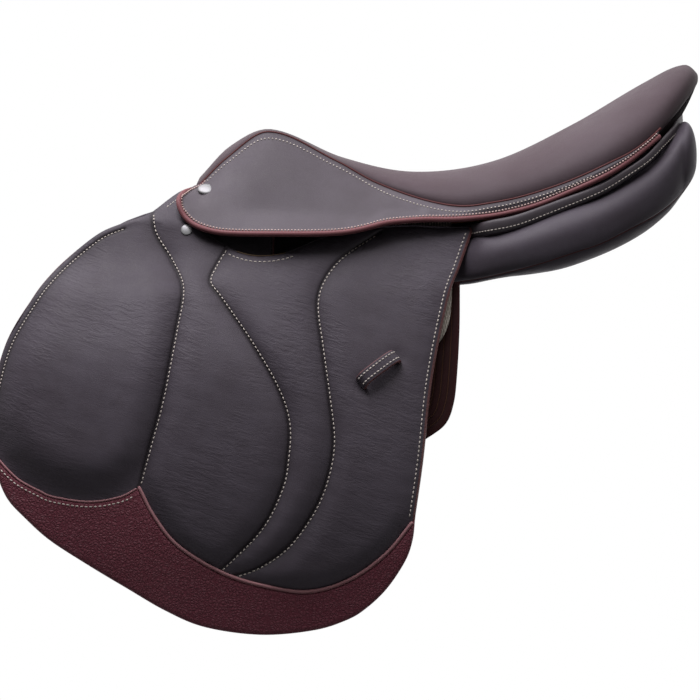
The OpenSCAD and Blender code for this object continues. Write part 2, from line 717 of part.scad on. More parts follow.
// Knee block on the sweat flap
module block_form() {
    rows = [4, -6, -22, -44, -66, -88, -110, -128, -142, -150];
    skin([for (z = rows)
        let (a = at(flap_front, -z) + 18, b = at(seam_knee, -z) - 10, up = 1 - pow(abs((z + 73) / 77), 4))
        let (c = [for (i = [0 : 8]) [lerp(a, b, i / 8), 1 - pow(abs(i / 4 - 1), 4)]])
        concat(
            [for (p = c) [p[0], barrel(p[0], z) + lay_gap + 1.5 + (stand(p[0], z) - 3) * p[1] * up, z]],
            back([for (p = c) [p[0], barrel(p[0], z) + lay_gap, z]]))]);
}

module knee_block_left() {
    color(black_leather) mirror([0, 1, 0]) block_form();
}

module knee_block_right() {
    color(black_leather) block_form();
}

// Sweat flap against the horse's side
sweat_top = 14;
sweat_front = [[-14, -216], [20, -290], [60, -315], [100, -320], [140, -310], [170, -283],
    [190, -240], [200, -195]];
sweat_rear = [[-14, 49], [26, 48], [67, 45], [87, 42], [103, 35], [114, 20], [140, -25], [165, -75],
    [185, -120],
    [200, -165]];
module sweat_form() {
    rows = [sweat_top, -8, -26, -50, -72, -90, -103, -114, -130, -150, -168, -182, -192, -199];
    skin([for (z = rows)
        let (xs = spread(at(sweat_front, -z), at(sweat_rear, -z), 10))
        concat([for (x = xs) [x, barrel(x, z), z]], back([for (x = xs) [x, barrel(x, z) - sweat_t, z]]))]);
}

module sweat_flap_left() {
    color(wine_leather) mirror([0, 1, 0]) sweat_form();
}

module sweat_flap_right() {
    color(wine_leather) sweat_form();
}

module panel_form() {
    rows = concat([-190, -172, -150, -125, -100, -75, -50, -25, 0, 25, 50, 62, 80, 100, 118, 133, 150],
        [167, 185, 202, 217, 230, 240, 248, 253, 256]);
    skin([for (x = rows) panel_ring(x)]);
}

module panel_left() {
    color(black_leather) mirror([0, 1, 0]) panel_form();
}

module panel_right() {
    color(black_leather) panel_form();
}

// Pocket over the point of the tree
module pocket_form() {
    skin([for (z = spread(point_z + 12, point_z - 12, 4))
        let (y = barrel(0, z) - pocket_lay)
        [[-182, y, z], [-110, y, z], [-110, y - pocket_t, z], [-182, y - pocket_t, z]]]);
}

module point_pocket_left() {
    color(black_leather) mirror([0, 1, 0]) pocket_form();
}

module point_pocket_right() {
    color(black_leather) pocket_form();
}

// Girth straps and the webs that they hang from
front_x = -66;
rear_x = -14;
strap_top = -30;
hole_first = -86;
web_low = -60;
web_turn = side_h - 21;
front_web_x = [[web_low, front_x], [-20, -58], [50, -36]];
rear_web_x = [[web_low, rear_x], [-37, 5], [-13, 14], [50, 16]];
front_web_half = [[web_low, strap_w / 2], [-20, web_w / 2], [50, web_w / 2]];
rear_web_half = [[web_low, strap_w / 2], [-37, rear_web_w / 2 - 2], [-13, rear_web_w / 2],
    [50, rear_web_w / 2]];
hole_count = 6;
module billet_form(x) {
    low = strap_top - strap_len;
    rows = concat(spread(strap_top, low + 14, 11), [low]);
    difference() {
        skin([for (z = rows)
            let (w = z < low + 1 ? strap_w / 5 : strap_w / 2, y = barrel(x, z) + strap_gap)
            [[x - w, y + strap_t, z], [x + w, y + strap_t, z], [x + w, y, z], [x - w, y, z]]]);
        for (i = [0 : hole_count - 1])
            let (z = hole_first - i * hole_pitch)
            translate([x, barrel(x, z) + strap_gap + strap_t / 2, z])
                rotate([90 + barrel_lean(z), 0, 0])
                    cylinder(d = hole_d, h = 4 * strap_t, center = true);
    }
}

// Web from the top of the rail down to its strap, along centres and half widths given against height
module web_form(mids, halves) {
    n = len(mids) - 1;
    reach = halves[len(halves) - 1][1];
    over = max(rail_top(mids[n][1] - reach), rail_top(mids[n][1] + reach)) + seat_gap + web_t / 2;
    lay = web_lay + web_t / 2;
    path = concat(
        [[46, over], [rail_side + 1, over], [rail_side + 9, over - 5]],
        [[barrel(0, web_turn) + lay - 1, web_turn]],
        [for (z = [48, 36, 24, 12, 0, -13, -25, -37, -48, web_low]) [barrel(0, z) + lay, z]]);
    m = len(path) - 1;
    skin([for (i = [0 : m])
        let (d = path[min(i + 1, m)] - path[max(i - 1, 0)], p = path[i])
        let (u = [-d[1], d[0]] / norm(d) * web_t / 2)
        let (a = p + u, b = p - u, x = at(mids, p[1]), w = at(halves, p[1]))
        [[x - w, a[0], a[1]], [x + w, a[0], a[1]], [x + w, b[0], b[1]], [x - w, b[0], b[1]]]]);
}

module web_front_left() {
    color(cloth) mirror([0, 1, 0]) web_form(front_web_x, front_web_half);
}

module web_front_right() {
    color(cloth) web_form(front_web_x, front_web_half);
}

module web_rear_left() {
    color(cloth) mirror([0, 1, 0]) web_form(rear_web_x, rear_web_half);
}

module web_rear_right() {
    color(cloth) web_form(rear_web_x, rear_web_half);
}

module billet_front_left() {
    color(black_leather) mirror([0, 1, 0]) billet_form(front_x);
}

module billet_front_right() {
    color(black_leather) billet_form(front_x);
}

module billet_rear_left() {
    color(black_leather) mirror([0, 1, 0]) billet_form(rear_x);
}

module billet_rear_right() {
    color(black_leather) billet_form(rear_x);
}

tree_head();
tree_rail_left();
tree_rail_right();
tree_cantle();
head_plate();
head_rivets();
stirrup_bar_left();
stirrup_bar_right();
bar_catch_left();
bar_catch_right();
catch_pins();
bar_rivets();
seat_webbing();
web_front_left();
web_front_right();
web_rear_left();
web_rear_right();
seat_foam();
seat_cover();
cantle_back();
cantle_facing();
pommel_facing();
gullet_cover();
skirt_left();
skirt_right();
skirt_lobe_left();
skirt_lobe_right();
skirt_nails();
flap_nails();
flap_top_left();
flap_top_right();
flap_left();
flap_right();
flap_trim_left();
flap_trim_right();
leather_keeper_left();
leather_keeper_right();
knee_block_left();
knee_block_right();
sweat_flap_left();
sweat_flap_right();
panel_left();
panel_right();
point_pocket_left();
point_pocket_right();
billet_front_left();
billet_front_right();
billet_rear_left();
billet_rear_right();
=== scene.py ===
"""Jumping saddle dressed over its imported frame: leather, padding, stitching and studio."""
import math

import bmesh
import bpy
import numpy as np
from bpy.props import FloatProperty, FloatVectorProperty, PointerProperty
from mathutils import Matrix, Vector
from mathutils.geometry import delaunay_2d_cdt


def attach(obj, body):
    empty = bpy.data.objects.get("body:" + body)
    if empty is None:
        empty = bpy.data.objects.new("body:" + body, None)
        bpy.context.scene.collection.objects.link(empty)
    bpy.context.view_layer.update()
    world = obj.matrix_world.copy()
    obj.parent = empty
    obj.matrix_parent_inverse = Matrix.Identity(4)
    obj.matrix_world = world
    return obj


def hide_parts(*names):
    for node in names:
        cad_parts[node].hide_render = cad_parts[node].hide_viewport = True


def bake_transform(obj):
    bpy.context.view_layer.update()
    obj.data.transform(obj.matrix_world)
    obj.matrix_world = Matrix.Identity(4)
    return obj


bl_info = {
    "name": "Jumping saddle",
    "version": (1, 0, 0),
    "blender": (4, 5, 0),
    "location": "View3D > Sidebar > Saddle",
    "description": "Dresses the saddle's frame with leather, padding and stitching",
    "category": "Object",
}

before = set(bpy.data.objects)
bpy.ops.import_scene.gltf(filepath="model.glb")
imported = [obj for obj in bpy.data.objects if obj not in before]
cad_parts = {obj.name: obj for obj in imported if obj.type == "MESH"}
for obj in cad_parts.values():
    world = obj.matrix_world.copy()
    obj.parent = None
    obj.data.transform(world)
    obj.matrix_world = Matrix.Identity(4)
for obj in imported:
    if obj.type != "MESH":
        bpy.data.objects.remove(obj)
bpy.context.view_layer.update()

MM = 0.001
SIDES = (("left", -1), ("right", 1))


# Curves and tables, all in millimetres

def clamp(v, lo, hi):
    return np.minimum(np.maximum(v, lo), hi)


def lerp(a, b, t):
    return a + (b - a) * t


def ease(t):
    c = clamp(t, 0, 1)
    return c * c * (3 - 2 * c)


def at(table, v):
    """Smooth value of a table of pairs at v."""
    k = np.asarray(table, float)
    v = np.asarray(v, float)
    x, y = k[:, 0], k[:, 1]
    slope = np.empty(len(x))
    slope[1:-1] = (y[2:] - y[:-2]) / (x[2:] - x[:-2])
    slope[0] = (y[1] - y[0]) / (x[1] - x[0])
    slope[-1] = (y[-1] - y[-2]) / (x[-1] - x[-2])
    i = np.clip(np.searchsorted(x, v, side="right") - 1, 0, len(x) - 2)
    h = x[i + 1] - x[i]
    t = clamp((v - x[i]) / h, 0, 1)
    p, q, m, n = y[i], y[i + 1], slope[i] * h, slope[i + 1] * h
    return p + m * t + (3 * (q - p) - 2 * m - n) * t ** 2 + (m + n - 2 * (q - p)) * t ** 3


def lengths(line):
    """Distance of each point of a line from its start."""
    return np.concatenate([[0], np.cumsum(np.linalg.norm(np.diff(line, axis=0), axis=1))])


def spots(q, run, line):
    """Points at the distances q along a line whose own distances are in run."""
    return np.stack([np.interp(q, run, line[:, k]) for k in range(line.shape[1])], axis=1)


def resample(points, step=None, count=None):
    """Evenly spaced points along a line of points."""
    p = np.asarray(points, float)
    run = lengths(p)
    n = count or max(2, int(round(run[-1] / step)) + 1)
    return spots(np.linspace(0, run[-1], n), run, p)


def relax(line, times):
    """Line whose inner points are drawn toward their neighbours."""
    line = line.copy()
    for _ in range(times):
        line[1:-1] = (line[:-2] + 2 * line[1:-1] + line[2:]) / 4
    return line


def curve(points, step):
    """Smooth line through points, evenly spaced."""
    p = np.asarray(points, float)
    e = np.vstack([2 * p[0] - p[1], p, 2 * p[-1] - p[-2]])
    t = np.linspace(0, 1, 24, endpoint=False)[:, None]
    out = []
    for i in range(len(p) - 1):
        a, b, c, d = e[i:i + 4]
        out.append(0.5 * (2 * b + (c - a) * t + (2 * a - 5 * b + 4 * c - d) * t ** 2
                          + (3 * b - a - 3 * c + d) * t ** 3))
    return resample(np.vstack(out + [p[-1:]]), step)


def unit(v):
    v = np.asarray(v, float)
    return v / np.maximum(np.linalg.norm(v, axis=-1, keepdims=True), 1e-9)


def tangents(path):
    return unit(np.gradient(np.asarray(path, float), axis=0))


def beside(line, d):
    """Line in a plane moved sideways, to the left of its run for positive d."""
    t = tangents(line)
    return line + np.stack([-t[:, 1], t[:, 0]], 1) * d


def distance(x, z, line):
    """Distance of points in a plane from a line of points."""
    p = np.stack([np.asarray(x, float), np.asarray(z, float)], -1)[:, None, :]
    a, ab = line[None, :-1], (line[1:] - line[:-1])[None]
    t = clamp(((p - a) * ab).sum(-1) / np.maximum((ab ** 2).sum(-1), 1e-9), 0, 1)
    return np.sqrt(((p - a - ab * t[..., None]) ** 2).sum(-1).min(1))
FAR = 1e3


def nearest(x, z, lines):
    """Distance of points in a plane from the nearest of several lines."""
    if not lines:
        return np.full(len(x), FAR)
    return np.min([distance(x, z, q) for q in lines], axis=0)


def inside(x, z, loop):
    """Whether points in a plane lie inside a closed loop."""
    a, b = loop, np.roll(loop, -1, axis=0)
    x, z = np.asarray(x)[:, None], np.asarray(z)[:, None]
    cut = (a[:, 1] > z) != (b[:, 1] > z)
    rise = np.where(b[:, 1] == a[:, 1], 1e-9, b[:, 1] - a[:, 1])
    hit = cut & (x < (b[:, 0] - a[:, 0]) * (z - a[:, 1]) / rise + a[:, 0])
    return hit.sum(1) % 2 == 1


def within(x, z, loops):
    """Whether points lie inside the first loop and outside the others."""
    keep = inside(x, z, loops[0])
    for hole in loops[1:]:
        keep &= ~inside(x, z, hole)
    return keep


# Seat and tree, as in the frame

SEAT_FRONT, SEAT_BACK = 178.0, 264.0
POMMEL_X, DIP_X, WAIST_X, PEAK_X, ROUND_X = -116.0, 12.0, 30.0, 252.0, 171.0
POMMEL_H, DIP_H, CANTLE_H = 144.0, 106.0, 201.0
NOSE_H, SIDE_H, RIM_H, BROW_H = 102.0, 79.0, 190.0, 137.0
POMMEL_W, SEAT_W, COVER_T = 88.0, 234.0, 2.5
SKIRT_H, SKIRT_T = 54.0, 4.0
HEAD_X, CANTLE_X, RAIL_W, TREE_T, RAIL_SIDE = -116.0, 196.0, 30.0, 14.0, 71.5

CREST = [
    (-SEAT_FRONT, NOSE_H), (lerp(-SEAT_FRONT, POMMEL_X, 0.42), lerp(NOSE_H, POMMEL_H, 0.64)),
    (POMMEL_X, POMMEL_H), (lerp(POMMEL_X, DIP_X, 0.5), lerp(DIP_H, POMMEL_H, 0.34)), (DIP_X, DIP_H),
    (lerp(DIP_X, PEAK_X, 0.3), lerp(DIP_H, CANTLE_H, 0.1)),
    (lerp(DIP_X, PEAK_X, 0.6), lerp(DIP_H, CANTLE_H, 0.45)),
    (lerp(DIP_X, PEAK_X, 0.87), lerp(DIP_H, CANTLE_H, 0.85)), (PEAK_X, CANTLE_H),
    (SEAT_BACK, CANTLE_H - 8)]
EDGE = [
    (-SEAT_FRONT, NOSE_H - 9), (lerp(-SEAT_FRONT, POMMEL_X, 0.42), lerp(NOSE_H, POMMEL_H, 0.4)),
    (POMMEL_X, BROW_H + 4), (lerp(POMMEL_X, WAIST_X, 0.4), lerp(SIDE_H, BROW_H, 0.57) + 4),
    (lerp(POMMEL_X, WAIST_X, 0.65), lerp(SIDE_H, BROW_H, 0.25) + 3), (WAIST_X, SIDE_H + 1),
    (lerp(WAIST_X, SEAT_BACK, 0.15), SIDE_H),
    (lerp(WAIST_X, SEAT_BACK, 0.45), lerp(SIDE_H, RIM_H, 0.2)),
    (lerp(WAIST_X, SEAT_BACK, 0.75), lerp(SIDE_H, RIM_H, 0.52)), (SEAT_BACK, RIM_H)]
HALF = [
    (-SEAT_FRONT, POMMEL_W / 2 + 8), (POMMEL_X, POMMEL_W / 2),
    (lerp(POMMEL_X, ROUND_X, 0.33), lerp(POMMEL_W, SEAT_W, 0.28) / 2),
    (lerp(POMMEL_X, ROUND_X, 0.63), lerp(POMMEL_W, SEAT_W, 0.74) / 2), (ROUND_X, SEAT_W / 2)]


def crest(x):
    return at(CREST, x)


def edge(x):
    return at(EDGE, x)


SAG = [
    (WAIST_X, 0), (70, 0.6), (95, 2.4), (120, 3.6), (143, 4.4), (176, 4.0), (192, 5.2), (210, 5), (SEAT_BACK, 0)]


def seat_low(x):
    """Lower edge of the seat's leather, which hangs a little under the frame's at the back."""
    return edge(x) - at(SAG, x)


def seat_half(x):
    x = np.asarray(x, float)
    t = (x - ROUND_X) / (SEAT_BACK - ROUND_X)
    return np.where(x < ROUND_X, at(HALF, x), SEAT_W / 2 * np.sqrt(np.maximum(0, 1 - t * t)))


def seat_z(x, y):
    r = clamp(np.abs(y) / seat_half(x), 0, 1)
    return lerp(seat_low(x), crest(x), (1 - r ** 2.4) ** 0.45)


def rail_top(x):
    x = np.asarray(x, float)
    return np.where(x > WAIST_X, edge(x) - 2 + np.maximum(0, x - CANTLE_X) * 0.25,
                    SIDE_H - 2 + (WAIST_X - x) * 0.03)


def rail_in(x):
    outs = [(HEAD_X, RAIL_SIDE), (40, RAIL_SIDE), (130, 92), (CANTLE_X, 92)]
    return at(outs, x) - RAIL_W


# Side of the horse, and the layers on it

BARREL_TOP, BARREL_LOW, SWEAT_T = 112.0, 182.0, 4.0
SWELL_FROM, SWELL_RUN, SHOULDER_X, SHOULDER_IN = 12.0, 230.0, -240.0, 12.0
STRAP_GAP, STRAP_T, STRAP_W, WEB_T = 1.6, 3.8, 26.0, 2.2
WEB_LAY = STRAP_GAP + STRAP_T + 0.4
STRAP_ROOM = WEB_LAY + WEB_T + 2
BLOCK_ROOM, BLOCK_X, BLOCK_RUN = 14.0, -40.0, 130.0
FLAP_T = 7.0


def barrel(x, z):
    """Distance of the horse's side from the middle."""
    swell = np.sin(math.pi / 2 * clamp((SWELL_FROM - np.asarray(z, float)) / SWELL_RUN, -0.5, 1))
    shoulder = SHOULDER_IN * (np.maximum(0, SHOULDER_X - np.asarray(x, float)) / 100) ** 2
    return lerp(BARREL_TOP, BARREL_LOW, swell) - shoulder


def barrel_lean(z):
    return math.atan(float(barrel(0, z - 1) - barrel(0, z + 1)) / 2)


def stand(x, z):
    """Room between the horse's side and the flap, for straps and knee block."""
    block = BLOCK_ROOM * ease((BLOCK_X - x) / BLOCK_RUN) * ease((20 - z) / 40)
    head = 10 * ease((-120 - x) / 80) * ease(z / 40)
    tip = 0.75 * ease((-150 - x) / 35) * np.maximum(0, z - 66)
    return STRAP_ROOM + block - head - tip


def flap_in(x, z):
    return barrel(x, z) + stand(x, z)


def flap_face(x, z):
    return flap_in(x, z) + FLAP_T


FLAP_FRONT = [
    (-70, -221), (-54, -262), (-33, -288), (0, -315), (32, -333), (65, -342), (97, -345), (129, -339),
    (161, -328), (176, -313), (193, -293), (212, -263), (232, -230), (251, -197), (264, -165), (272, -118)]
SEAM_KNEE = [
    (-31, -194), (-9, -184), (23, -189), (80, -198), (150, -215), (200, -210), (240, -180), (264, -140),
    (272, -116)]
TRIM_FORE = [
    (-342, -122.5), (-334, -131.3), (-326, -139), (-317, -145.8), (-302, -153), (-289, -158), (-259, -161.5),
    (-234, -157.5), (-219, -150)]
TRIM_AFT = [
    (-219, -150), (-206, -174), (-186, -198), (-148, -221), (-111, -233), (-78, -237.5), (-45, -228), (-15, -206.5),
    (8, -179)]
FLAP_EDGE = [
    (-186, 92), (-193, 90), (-203, 83), (-213, 75), (-221, 70), (-242, 63), (-262, 54), (-288, 33), (-304, 16),
    (-315, 0), (-333, -32), (-342, -65), (-345, -97), (-341, -127)]
FLAP_LOW = [
    (-341, -129), (-337, -143), (-328, -161), (-313, -176), (-293, -193), (-263, -212), (-230, -232),
    (-197, -251.5), (-165, -265), (-118, -272.5), (-75, -270), (-48, -262), (-31.5, -252), (-14, -235), (1, -212),
    (7, -194.5), (9, -177)]
FLAP_BACK = [(9, -177), (16, -130), (24, -65), (38.3, 0), (49, 28), (61, 60)]
FLAP_HEAD = [
    (61, 60), (30, 61), (8, 62), (-19, 61), (-45, 58), (-68, 52), (-86, 44.5), (-103, 38.5), (-122, 36.5), (-138, 39),
    (-150, 44), (-160, 50), (-171, 58), (-178, 72), (-186, 92)]
KNEE_LINE = [
    (-216, 73), (-212, 54), (-197, 31), (-187, 9), (-191, -23), (-201, -80), (-211, -119), (-219, -150)]
MID_LINE = [
    (-150, 44), (-159, 29), (-164, 15), (-153.5, 1), (-126.5, -36), (-105, -72), (-96, -100), (-97, -129),
    (-102, -153), (-119, -185), (-153, -219)]
BACK_LINE = [
    (-19, 57), (-50, 37), (-67, 17), (-73, -4), (-69, -36), (-63, -77), (-59, -113), (-63, -141), (-74, -169),
    (-95, -198), (-119, -215), (-147, -225)]

# Skirt

TIP_X, FOLD_X = -192.5, 20.0
LIE_Y = float(flap_face(np.float64(0), np.float64(SKIRT_H)))
FOLD_Y, FOLD_Z, FOLD_LOW = LIE_Y - 17.2, SIDE_H - 2, SIDE_H - 12
SKIRT_OUT = [
    (-191, -14.2), (-181, -6.7), (-168, -0.7), (-138, 5.3), (-104, 11.8), (-70, 12.8), (-37, 9.8), (-3, 3.8),
    (31, -0.2)]
SKIRT_DOWN = [
    (-193.5, 84), (-191, 76.5), (-186.6, 70), (-178, 63.5), (-159, 58), (-138, 56.8), (-110, 56.8), (-70, 57),
    (-49, 58.2), (-33, 61.2), (-15, 66), (-2, 67.4), (11, 68.4), (24, 68.9), (31, 68.7)]
TAIL_DOWN = [
    (20, 68.8), (31, 68.6), (49, 69), (66, 70.4), (83, 72.8), (113, 80.6), (143, 93), (160, 100.6), (176, 108.7),
    (192, 118.8), (208, 131), (218, 139)]
SKIRT_NOSE, SKIRT_END = 4 - SEAT_FRONT, SEAT_BACK - 46


def fold(x):
    t = (x - TIP_X) / (FOLD_X - TIP_X)
    return np.array([x, lerp(FOLD_Y, LIE_Y - 0.2, t), lerp(FOLD_Z, FOLD_LOW, t)])


def skirt_lip(x):
    return np.array([x, LIE_Y + float(at(SKIRT_OUT, x)), float(at(SKIRT_DOWN, x))])


def seat_lip(x):
    return np.array([x, float(seat_half(x)) + 0.5 + 0.7 * SKIRT_T, float(seat_low(x))])


def skirt_top_edge(x):
    if x > SKIRT_NOSE:
        return seat_lip(x)
    t = clamp((x - TIP_X) / (SKIRT_NOSE - TIP_X), 0, 1)
    start = np.array([x, FOLD_Y - 1, FOLD_Z + 7])
    stop = np.array([x, seat_lip(SKIRT_NOSE)[1], float(edge(SKIRT_NOSE))])
    return lerp(start, stop, t ** 0.5)


def tail_lip(x):
    t, e = float(ease((x - 20) / 60)), float(ease((x - 150) / 60))
    return np.array([x, seat_lip(x)[1] + lerp(22, 3.8, t) - 1.5 * e, float(at(TAIL_DOWN, x))])


def skirt_low_edge(x):
    if x < FOLD_X:
        top, hem, turn = skirt_top_edge(x), skirt_lip(x), fold(x)
        return lerp(lerp(top, hem, 0.6), turn, float(ease((turn[2] - hem[2] - 1) / 6)))
    return lerp(skirt_lip(x), tail_lip(x), float(ease((x - FOLD_X) / 25)))


def skirt_hem(x):
    return skirt_lip(x) if x < FOLD_X else skirt_low_edge(x)


# Panel

PANEL_IN, PANEL_OUT, PANEL_HALF = 36.0, BARREL_TOP - SWEAT_T - 1.8, 139.0
PANEL_INS = [
    (-190, PANEL_IN + 10), (-150, PANEL_IN + 2), (-100, PANEL_IN), (167, PANEL_IN), (202, PANEL_IN + 2),
    (230, PANEL_IN + 6), (247, PANEL_IN + 15), (256, PANEL_IN + 28)]
PANEL_OUTS = [
    (-190, PANEL_OUT - 12), (-150, PANEL_OUT - 0.5), (0, PANEL_OUT), (42, PANEL_OUT), (50, 107.5), (55, 112),
    (60, 117), (66, 122.5), (73, 127), (82, 130.5), (92, 133.3), (102, 135.5), (133, PANEL_HALF), (167, PANEL_HALF - 1),
    (202, PANEL_HALF - 7), (230, PANEL_HALF - 21), (247, PANEL_HALF - 39), (256, PANEL_HALF - 58)]
PANEL_DROP = [
    (-190, 59), (-150, 54), (-100, 51.3), (-50, 47.3), (0, 46.3), (40, 43), (62, 40.3), (87, 41.2),
    (112, 43.6), (138, 46.6), (163, 49.3), (190, 50.7), (204, 51.8), (217, 52.8), (230, 52.6), (240, 49.8)]
PANEL_TALL = [
    (-190, 7), (-150, 11), (-100, 13), (-50, 18), (0, 21.5), (40, 21), (62, 22.5), (87, 23), (112, 26),
    (138, 28.5), (163, 28.5), (190, 29.5), (204, 29.5), (217, 29.5), (230, 30.1), (240, 30.3)]
PANEL_FALL = [
    (-190, 0.5), (-150, 0.55), (-100, 0.55), (-50, 0.5), (0, 0.45), (46, 0.32), (70, 0.2), (100, 0.15), (133, 0.13),
    (167, 0.1), (256, 0.05)]
PANEL_SEAM = [(57, 14.5), (87, 22), (115, 30), (145, 40), (167, 47.3), (190, 58.5), (215, 71), (231, 82), (249, 98)]
# Rolled facing of the cantle: place along and across, drop below the seat's edge, height
FACING = [
    (52, 90, 22, 5.4), (60, 99, 21.4, 5.8), (68, 109, 20.9, 6.2), (77, 116.5, 20.7, 6.3), (99, 120.5, 21.9, 6.2),
    (133, 121.5, 21.5, 5.6), (167, 123, 22.2, 4.8), (190, 122, 20.5, 4.2), (208, 116.5, 19.8, 3.8),
    (221, 105, 17.8, 4), (234, 82, 18.4, 4.6), (243, 46, 17.8, 5.6), (247.5, 0, 18.5, 6.2)]


def bulge(a):
    c = np.cos(a)
    return np.sign(c) * np.abs(c) ** 0.77


def panel_point(x, a):
    """Point of the panel's section at angle a, from 180 degrees inside over the top to 0 outside."""
    i, o = at(PANEL_INS, x), at(PANEL_OUTS, x)
    m, w = (i + o) / 2, (o - i) / 2
    y = m + w * bulge(a)
    mid = edge(np.maximum(x, WAIST_X)) - at(PANEL_DROP, x)
    z = mid + at(PANEL_TALL, x) * bulge(a - math.pi / 2) - at(PANEL_FALL, x) * (y - m)
    return np.stack(np.broadcast_arrays(x, y, z), -1)


# Meshes from points in millimetres

def piece(name, points, faces, finish, side=1, marks=None):
    """New object from points and faces, mirrored for the near side, with its marks as point attributes."""
    pts = np.array(points, float) * MM
    if side < 0:
        pts[:, 1] *= -1
    mesh = bpy.data.meshes.new(name)
    mesh.from_pydata(pts.tolist(), [], [list(map(int, f)) for f in faces])
    for key, values in (marks or {}).items():
        layer = mesh.attributes.new(key, "FLOAT", "POINT")
        layer.data.foreach_set("value", np.asarray(values, np.float32))
    bm = bmesh.new()
    bm.from_mesh(mesh)
    bmesh.ops.recalc_face_normals(bm, faces=bm.faces)
    bm.to_mesh(mesh)
    bm.free()
    mesh.shade_smooth()
    obj = bpy.data.objects.new(name, mesh)
    bpy.context.collection.objects.link(obj)
    mesh.materials.append(finish)
    return obj


def merge(parts):
    """One set of points and faces from several."""
    points, faces, n = [], [], 0
    for p, f in parts:
        points.append(np.asarray(p, float))
        faces += [[i + n for i in face] for face in f]
        n += len(p)
    return np.vstack(points), faces


def loft(rings):
    """Closed form over rings of one count of points."""
    r = np.asarray(rings, float)
    m, n = r.shape[:2]
    faces = [(i * n + j, i * n + (j + 1) % n, (i + 1) * n + (j + 1) % n, (i + 1) * n + j)
             for i in range(m - 1) for j in range(n)]
    faces += [tuple(range(n))[::-1], tuple(range((m - 1) * n, m * n))]
    return r.reshape(-1, 3), faces


def plate(front, back):
    """Closed leaf between two grids of one size."""
    f, b = np.asarray(front, float), np.asarray(back, float)
    m, n = f.shape[:2]
    k = m * n
    faces = []
    for i in range(m - 1):
        for j in range(n - 1):
            a, q = i * n + j, (i + 1) * n + j
            faces.append((a, a + 1, q + 1, q))
            faces.append((k + a, k + q, k + q + 1, k + a + 1))
    rim = list(range(n)) + [i * n + n - 1 for i in range(1, m)]
    rim += [(m - 1) * n + j for j in range(n - 2, -1, -1)] + [i * n for i in range(m - 2, 0, -1)]
    for a, b2 in zip(rim, rim[1:] + rim[:1]):
        faces.append((a, k + a, k + b2, b2))
    return np.vstack([f.reshape(-1, 3), b.reshape(-1, 3)]), faces


# Rounded ends of a tube: place beyond its end and share of its radius
TUBE_ENDS = ((-0.9, 0.3), (-0.55, 0.75))


def tube(path, radius, sides=10, flat=1.0, up=(0, 0, 1)):
    """Round or flattened tube along a path, with rounded ends."""
    p, up = np.asarray(path, float), np.asarray(up, float)
    t = tangents(p)
    n = unit(up - t * (t @ up)[:, None])
    b = np.cross(t, n)
    r = np.ones(len(p)) * radius
    first = [(p[0] + t[0] * r[0] * o, r[0] * s) for o, s in TUBE_ENDS]
    last = [(p[-1] - t[-1] * r[-1] * o, r[-1] * s) for o, s in TUBE_ENDS[::-1]]
    p = np.vstack([[q for q, _ in first], p, [q for q, _ in last]])
    r = np.concatenate([[s for _, s in first], r, [s for _, s in last]])
    n, b = (np.vstack([v[:1], v[:1], v, v[-1:], v[-1:]]) for v in (n, b))
    a = np.linspace(0, 2 * math.pi, sides, endpoint=False)
    ring = (p[:, None] + r[:, None, None] * (np.cos(a)[None, :, None] * n[:, None] * flat
                                             + np.sin(a)[None, :, None] * b[:, None]))
    return loft(ring)


# Leaves: points closer than SAME_SPOT are one, rows keep a share of their distance from rims and lines
SAME_SPOT, KEEP_SHARE, ROW_STEP, LINE_CLEAR = 0.6, 0.94, 0.866, 1.0
# Width of the painted rim mark, and widths of the painted shade along a leaf's lines: a narrow core, partly the seam's
# dark joint, and a wide halo of painted shade in the crease
RIM_WIDE, SEAM_SHADE_CORE, SEAM_SHADE_HALO = 4.0, 1.6, 6.0


def cell(p):
    return round(p[0] / SAME_SPOT), round(p[1] / SAME_SPOT)


def leaf_points(loops, lines, fill, near, beside_line):
    """Points of a leaf in its plane, and the links that its rims and lines need."""
    closed = [np.vstack([q, q[:1]]) for q in loops]
    pts, links = [], []
    for q in loops:
        n = len(pts)
        pts += q.tolist()
        links += [(n + i, n + (i + 1) % len(q)) for i in range(len(q))]
    for q in lines:
        x, z = q.T
        run = q[inside(x, z, loops[0]) & (nearest(x, z, closed) > LINE_CLEAR)]
        n = len(pts)
        pts += run.tolist()
        links += [(n + i, n + i + 1) for i in range(len(run) - 1)]
    loose = [(beside(closed[0], s * step)[:-1], step, 0.0) for step in near for s in (1, -1)]
    loose += [(beside(q, s * step), 0.9, step) for q in lines for step in beside_line for s in (1, -1)]
    lo, hi = loops[0].min(0), loops[0].max(0)
    grid = []
    for i, z in enumerate(np.arange(lo[1], hi[1], fill * ROW_STEP)):
        x = np.arange(lo[0] + (i % 2) * fill / 2, hi[0], fill)
        grid.append(np.stack([x, np.full(len(x), z)], 1))
    loose.append((np.vstack(grid), near[-1] + fill * 0.5, beside_line[-1] + fill * 0.5))
    seen = {cell(p) for p in pts}
    for cloud, clear, off in loose:
        x, z = cloud.T
        keep = within(x, z, loops) & (nearest(x, z, closed) > clear * KEEP_SHARE)
        keep &= nearest(x, z, lines) > max(off * KEEP_SHARE, SAME_SPOT)
        for p in cloud[keep]:
            if cell(p) not in seen:
                seen.add(cell(p))
                pts.append(p.tolist())
    return pts, links


